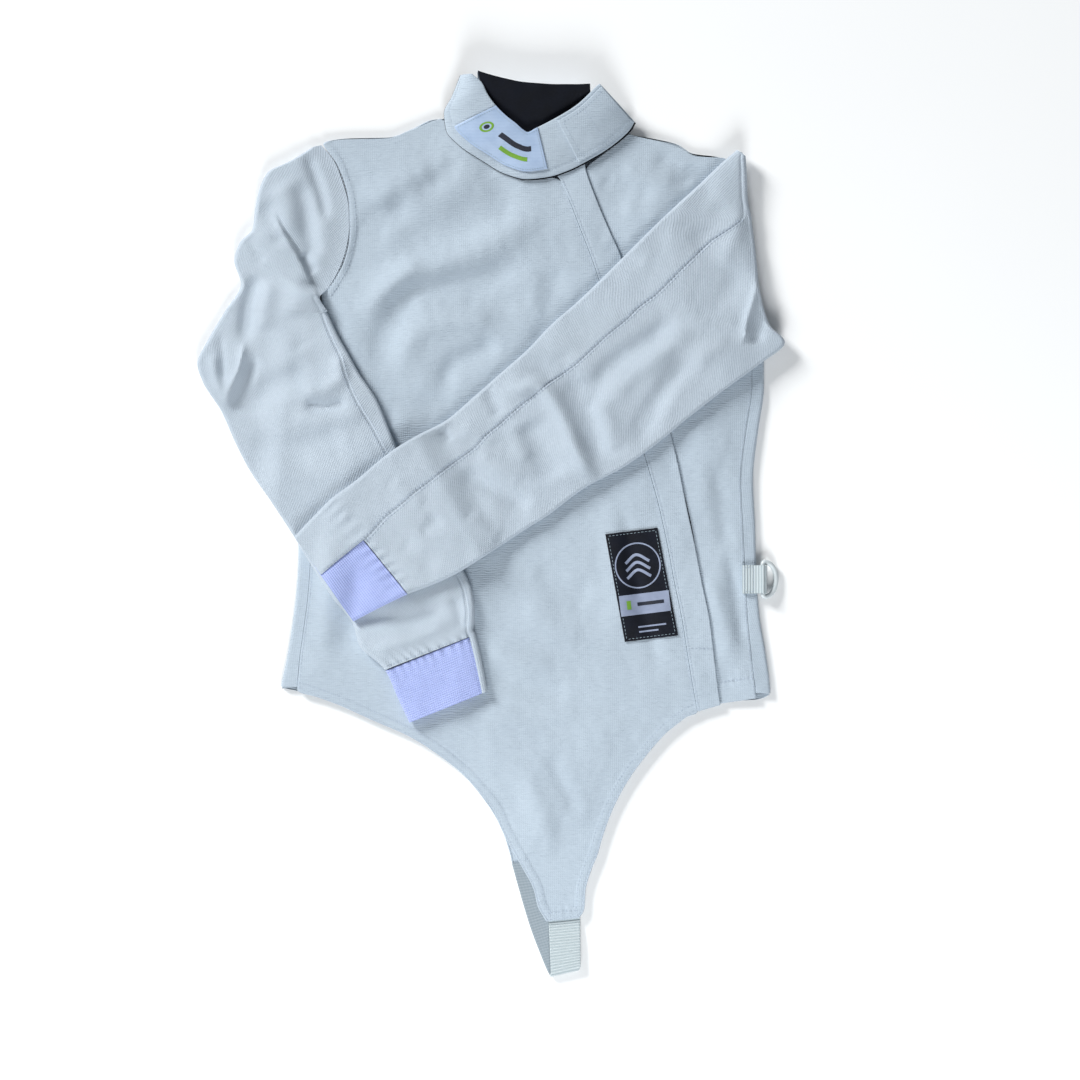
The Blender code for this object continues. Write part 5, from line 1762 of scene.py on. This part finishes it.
    def mark(self, name: str, middle: tuple[float, float], radii: tuple[float, float]) -> Wall:
        """A woven ring or dot: the space between two circles about a place on the label."""
        angle = np.linspace(0.0, 2.0 * math.pi, 41)[:, None]
        reach = np.linspace(radii[0], radii[1], 4)
        places = middle[0] + np.cos(angle) * reach / self.row_mm
        share = middle[1] + np.sin(angle) * reach / self.band_mm
        rows = eased_rows(COLLAR, places.ravel()).reshape(*places.shape, -1)
        flat = between(rows[..., :2], rows[..., 2:4], share[..., None])
        top = self.height(flat, share, rows[..., 4]) + self.patch_lift + self.patch + 0.2
        return laid_wall(name, flat, top, 0.2, False)

    def motifs(self) -> tuple[bpy.types.Object, ...]:
        """A plain woven ring round a dot, and two plain bars, with no words."""
        lift = self.patch_lift + self.patch
        walls = (
            ("green", self.mark("collar_label_ring", (3.95, 0.6), (4.0, 6.0))),
            ("navy", self.mark("collar_label_dot", (3.95, 0.6), (0.1, 2.5))),
            ("navy", self.patch_wall("collar_label_bar", (4.75, 7.3), (0.58, 0.69), lift, 0.2)),
            ("green", self.patch_wall("collar_label_line", (5.2, 7.0), (0.37, 0.46), lift, 0.2)),
        )
        return tuple(sewn_on(wall, self.wardrobe.get(finish), "satin_label")
                     for finish, wall in walls)


@dataclass
class FrontLabel:
    """Black woven label on the right front, with a plain ring, chevrons and a pale band."""

    lie: Lie
    wardrobe: Wardrobe
    corners: Array = field(default_factory=lambda: np.array([(105, -9, 153, -3),
                                                             (123, -108, 172, -102)], float))
    cloth: float = 1.0
    lift: float = 0.45
    thread_lift: float = 0.22
    thread_wall: float = 0.25
    ring_radius: float = 20.5
    ring_place: tuple[float, float] = (0.5, 0.32)

    def at(self, across: Array, down: Array) -> Array:
        """A place in the plane, by shares across and down the label."""
        across, down = np.asarray(across, float)[..., None], np.asarray(down, float)[..., None]
        left = between(self.corners[0, :2], self.corners[1, :2], down)
        right = between(self.corners[0, 2:], self.corners[1, 2:], down)
        return between(left, right, across)

    def top(self, points: Array) -> Array:
        """The label's upper face."""
        return self.lie.dressed_front(points) + self.lift + self.cloth

    def raised(self, points: Array) -> Array:
        """The face of the raised threads on it."""
        return self.top(points) + self.thread_lift

    def build(self) -> None:
        """Build the label, its motif and its dashed border."""
        down = edge_places(100.0, 60, 0.3)[:, None]
        across = edge_places(48.0, 30, 0.3)[None]
        down, across = np.broadcast_arrays(down, across)
        flat = self.at(across, down)
        wall = laid_wall("woven_label", flat, self.top(flat), self.cloth)
        label = wall.build(self.wardrobe.get("label"))
        place(label, "front_label", "black_label")
        angle = np.linspace(0.0, 2.0 * math.pi, 97)
        centre = self.at(*(np.array(value) for value in self.ring_place))
        circle = centre + self.ring_radius * np.stack([np.cos(angle), np.sin(angle)], axis=1)
        across_line = self.at(np.array([0.0, 1.0]), np.array([0.0, 0.0]))
        heading = unit_of(across_line[1] - across_line[0])
        upward = np.array([-heading[1], heading[0]])
        walls = [strip_wall("label_ring", circle, 1.3, self.raised, self.thread_wall)]
        for index, drop in enumerate((7.0, 0.0, -7.0)):
            shape = [(-11.0, drop - 4.0), (0.0, drop + 3.0), (11.0, drop - 4.0)]
            line = np.array([centre + heading * x + upward * y for x, y in shape])
            line = eased_path(line, 8)
            walls.append(strip_wall(f"label_chevron_{index + 1}", line, 2.6, self.raised,
                                    self.thread_wall))
        bars = (("label_band", 0.03, 0.97, 0.672, 19.0), ("label_rule", 0.3, 0.82, 0.88, 1.5),
                ("label_rule_low", 0.3, 0.66, 0.925, 1.5))
        for name, start, end, low, width in bars:
            line = self.at(np.linspace(start, end, 30), np.full(30, low))
            walls.append(strip_wall(name, line, width, self.raised, self.thread_wall))
        pieces = [sewn_on(each, self.wardrobe.get("motif"), "black_label") for each in walls]
        dot = self.at(np.linspace(0.16, 0.24, 8), np.full(8, 0.672))
        bar = self.at(np.linspace(0.36, 0.86, 20), np.full(20, 0.672))
        for name, line, width, finish in (("label_band_mark", dot, 8.0, "green"),
                                          ("label_band_bar", bar, 3.2, "navy")):
            marked = strip_wall(name, line, width, lambda p: self.raised(p) + self.thread_lift, 0.2)
            pieces.append(sewn_on(marked, self.wardrobe.get(finish), "black_label"))
        border = Stitching("front_label_border", length=2.2, pitch=3.4, width=0.5)
        left, right, upper, lower = 0.045, 0.955, 0.022, 0.978
        box = [(left, upper), (right, upper), (right, lower), (left, lower)]
        even = np.linspace(0.0, 1.0, 50)
        for a, b in zip(box, box[1:] + box[:1]):
            border.on(self.at(a[0] + (b[0] - a[0]) * even, a[1] + (b[1] - a[1]) * even), self.top)
        pieces.append(sewn_on(border, self.wardrobe.get("pale_thread"), "black_label"))
        lay_out(label, wall, tuple(pieces))


@dataclass
class CrotchElastic:
    """Ribbed elastic from the front tongue to the back one, folded over at its lowest end."""

    wardrobe: Wardrobe
    cloth: float = 1.6
    width: float = 29.0
    rear_top: float = 1.75
    end_top: float = 4.0
    end_x: float = 40.5

    def build(self) -> None:
        """Carry the band's width along its centre line, from under the front tongue to the back."""
        rows = eased_path(ELASTIC, 9)
        shares = edge_places(self.width, 22, 0.25)[:, None]
        flat = between(rows[:, None, :2], rows[:, None, 2:4], shares)
        middle = np.concatenate([flat, np.broadcast_to(rows[:, None, 4:5], (*flat.shape[:2], 1))],
                                axis=-1)
        centre = (rows[:, :2] + rows[:, 2:4]) / 2
        run = np.concatenate([centre, rows[:, 4:5]], axis=1)
        down = lengths_along(run)[:, None]
        grain = np.stack(np.broadcast_arrays(self.width * shares[None, :, 0], down), axis=-1)
        wall = wall_about("strap_elastic", middle, self.cloth, grain)
        piece = wall.build(self.wardrobe.get("webbing"))
        self.paint_rear_leg_shade(piece)
        place(piece, "crotch_elastic", "ribbed_webbing")
        lay_out(piece, wall)

    def paint_rear_leg_shade(self, piece: bpy.types.Object) -> None:
        """Give the rear leg, which shows the band's unribbed inside, its own finish: flatter ribs,
        and a darker colour that is painted shade.

        The rear leg is what lies below the middle of the turn, and what rises over the rear tongue.

        Args:
            piece: the band.
        """
        piece.data.materials.append(self.wardrobe.get("webbing_back"))
        faces = piece.data.polygons
        centre = np.empty(3 * len(faces))
        faces.foreach_get("center", centre)
        x, _, z = centre.reshape(-1, 3).T / MM
        # Faces of the rear leg, which take the darker finish of painted shade
        rear = (z < self.rear_top) | ((x < self.end_x) & (z < self.end_top))
        faces.foreach_set("material_index", rear.astype(np.int32))


@dataclass
class SideRing:
    """The moulded D-ring and the webbing loop that holds it at the jacket's left side."""

    wardrobe: Wardrobe
    hinge: Array
    wire: float = 4.6
    bar: float = 32.0
    depth: float = 13.0
    rest_tilt: float = 21.0
    webbing: float = 1.2
    webbing_width: float = 26.0
    tail: float = 19.0
    layer: float = 0.95
    clearance: float = 0.5

    def loop(self) -> Wall:
        """The webbing: in from its lower layer, round the bar, and back along its upper layer."""
        radius = self.wire / 2 + self.clearance + self.webbing / 2
        turn = np.radians(np.linspace(230.0, 490.0, 30))
        bend = np.stack([radius * np.cos(turn), radius * np.sin(turn)], axis=1)
        low = np.array([(-self.tail, -self.layer), (-13.0, -self.layer), (-9.0, -self.layer),
                        (-5.6, -1.7)])
        high = (low * (1.0, -1.0))[::-1]
        line = np.vstack([eased_path(low, 6), bend, eased_path(high, 6)])
        across = (edge_places(self.webbing_width, 20, 0.2) - 0.5) * self.webbing_width
        x, y = np.broadcast_arrays(line[:, :1], across[None])
        z = np.broadcast_to(line[:, 1:], x.shape)
        middle = np.stack([x, y, z], axis=-1) + self.hinge
        down = lengths_along(line)[:, None]
        grain = np.stack(np.broadcast_arrays(across[None] + self.webbing_width / 2, down), axis=-1)
        return wall_about("side_webbing", middle, self.webbing, grain)

    def ring(self, finish: bpy.types.Material) -> bpy.types.Object:
        """The D: a circle of wire carried round a bow and a straight bar with rounded corners."""
        bow = np.radians(np.linspace(88.0, -88.0, 90))
        path = np.stack([self.depth * np.cos(bow) ** 0.8, self.bar / 2 * np.sin(bow)], axis=1)
        line = np.stack([np.zeros(40), np.linspace(-self.bar / 2, self.bar / 2, 42)[1:-1]], axis=1)
        path = np.vstack([path, line])
        for _ in range(3):
            path = (np.roll(path, 1, axis=0) + path + np.roll(path, -1, axis=0)) / 3
        along = unit_of(np.roll(path, -1, axis=0) - np.roll(path, 1, axis=0))
        out = np.stack([along[:, 1], -along[:, 0]], axis=1)
        angle = np.linspace(0.0, 2.0 * math.pi, 21)[:-1]
        reach = self.wire / 2 * np.cos(angle)
        x = path[:, :1] + out[:, :1] * reach
        y = path[:, 1:] + out[:, 1:] * reach
        z = np.broadcast_to(self.wire / 2 * np.sin(angle), x.shape)
        tilt = math.radians(self.rest_tilt)
        points = np.stack([x * math.cos(tilt) + z * math.sin(tilt), y,
                           z * math.cos(tilt) - x * math.sin(tilt)], axis=-1) + self.hinge
        rows, sides = x.shape
        number = np.arange(rows * sides).reshape(rows, sides)
        after, beside = np.roll(number, -1, axis=0), np.roll(number, -1, axis=1)
        faces = np.stack([number, beside, np.roll(after, -1, axis=1), after], -1).reshape(-1, 4)
        grain = np.stack([np.tile(angle, rows), np.repeat(np.arange(rows), sides)], axis=-1)
        return write_mesh("side_d_ring", points.reshape(-1, 3), faces, finish, grain)

    def build(self) -> None:
        """Build the ring and its loop, and stitch the loop down."""
        wall = self.loop()
        loop = wall.build(self.wardrobe.get("webbing"))
        place(loop, "ring_webbing", "ribbed_webbing")
        sewn = Stitching("webbing_stitches", length=2.2, pitch=3.0, width=0.55)
        x, y, z = self.hinge
        z = z + self.layer + self.webbing / 2
        near, far, half = x - 8.5, x - self.tail + 1.8, self.webbing_width / 2 - 1.8
        box = [(near, y - half, z), (near, y + half, z), (far, y + half, z), (far, y - half, z)]
        for start, end in zip(box, box[1:] + box[:1]):
            sewn.along(np.linspace(start, end, 12))
        piece = sewn_on(sewn, self.wardrobe.get("thread"), "ribbed_webbing")
        lay_out(loop, wall, (piece,))
        ring = self.ring(self.wardrobe.get("ring"))
        place(ring, "d_ring", "ring_plastic", RING)


@dataclass
class Studio:
    """Pale floor, soft light and the camera straight above."""

    centre: tuple[float, float] = (45.1, -14.3)
    field_mm: float = 993.6
    distance: float = 6.0
    floor_size: float = 14.0

    def floor(self) -> None:
        """A pale matte board just under the jacket."""
        half = self.floor_size / 2
        mesh = bpy.data.meshes.new("floor")
        corners = [(x * half, y * half, -FLOOR_GAP * MM) for x, y in ((-1, -1), (1, -1), (1, 1),
                                                                      (-1, 1))]
        mesh.from_pydata(corners, [], [(0, 1, 2, 3)])
        board = bpy.data.objects.new("floor", mesh)
        bpy.context.scene.collection.objects.link(board)
        paint = bpy.data.materials.new("matte_white_board")
        paint.use_nodes = True
        tree = paint.node_tree
        shader = tree.nodes["Principled BSDF"]
        shader.inputs["Roughness"].default_value = 0.9
        shader.inputs["Specular IOR Level"].default_value = 0.1
        where = add(tree, "ShaderNodeTexCoord")
        grain = add(tree, "ShaderNodeTexNoise", {"Scale": 3.0, "Detail": 2.0},
                    {"Vector": where.outputs["Object"]})
        tone = add(tree, "ShaderNodeMix", {"data_type": "RGBA", 6: linear("#F6F7F8"),
                                           7: linear("#FAFAFA")}, {0: grain.outputs[0]})
        tree.links.new(tone.outputs[2], shader.inputs["Base Color"])
        mesh.materials.append(paint)

    def lamp(self, name: str, place_at: tuple[float, float, float], size: float, power: float,
             colour: tuple[float, float, float]) -> None:
        """A square area light that faces the jacket."""
        data = bpy.data.lights.new(name, "AREA")
        data.size, data.energy, data.color = size, power, colour
        light = bpy.data.objects.new(name, data)
        light.location = place_at
        light.rotation_euler = Vector(place_at).to_track_quat("Z", "Y").to_euler()
        bpy.context.scene.collection.objects.link(light)

    def light(self) -> None:
        """A broad soft key from the upper left, a low fill and an even sky."""
        self.lamp("key", (-4.1, 4.0, 2.9), 2.0, 505.0, (1.0, 1.0, 0.99))
        self.lamp("fill", (0.2, -1.7, 1.2), 1.0, 35.0, (0.97, 0.99, 1.0))
        world = bpy.data.worlds.new("studio")
        bpy.context.scene.world = world
        world.use_nodes = True
        world.node_tree.nodes["Background"].inputs[0].default_value = (0.88, 0.94, 1.0, 1.0)
        world.node_tree.nodes["Background"].inputs[1].default_value = 0.23

    def camera(self) -> None:
        """A long lens straight above, whose width takes in the stated field."""
        data = bpy.data.cameras.new("camera")
        data.sensor_width = 36.0
        data.lens = self.distance * data.sensor_width / (self.field_mm * MM)
        data.clip_end = 50.0
        camera = bpy.data.objects.new("camera", data)
        camera.location = (self.centre[0] * MM, self.centre[1] * MM, self.distance)
        bpy.context.scene.collection.objects.link(camera)
        bpy.context.scene.camera = camera

    def build(self) -> None:
        """Set the whole studio up."""
        self.floor()
        self.light()
        self.camera()
        bpy.context.scene.view_settings.view_transform = "Standard"


def hinge_place() -> Array:
    """The D-ring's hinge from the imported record, in millimetres."""
    joints = frame["record"]["behaviour"]["joints"]
    return np.array(joints[0]["pos_m"], float) / MM


def main() -> None:
    """Build the jacket, sew it and set the studio up round it."""
    logging.basicConfig(level=logging.INFO, format="%(message)s")
    lie, wardrobe = Lie(), Wardrobe()
    Studio().build()
    body = Body(lie, wardrobe)
    body.build()
    right = Sleeve("right", RIGHT_SLEEVE, lie.over_body, lie.right_folds, RIGHT_WRIST, lie,
                   wardrobe, 7, RIGHT_UNDERARM)
    left = Sleeve("left", LEFT_SLEEVE, lie.over_right_sleeve, lie.left_folds, LEFT_WRIST, lie,
                  wardrobe, 8)
    right.build()
    left.build()
    collar = Collar(lie, wardrobe)
    collar.build()
    body.sew()
    right.sew(["right_front", "back_panel"])
    left.sew(["right_front", "right_sleeve"])
    collar.sew()
    FrontLabel(lie, wardrobe).build()
    CrotchElastic(wardrobe).build()
    SideRing(wardrobe, hinge_place()).build()
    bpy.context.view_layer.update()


if __name__ == "__main__":
    main()
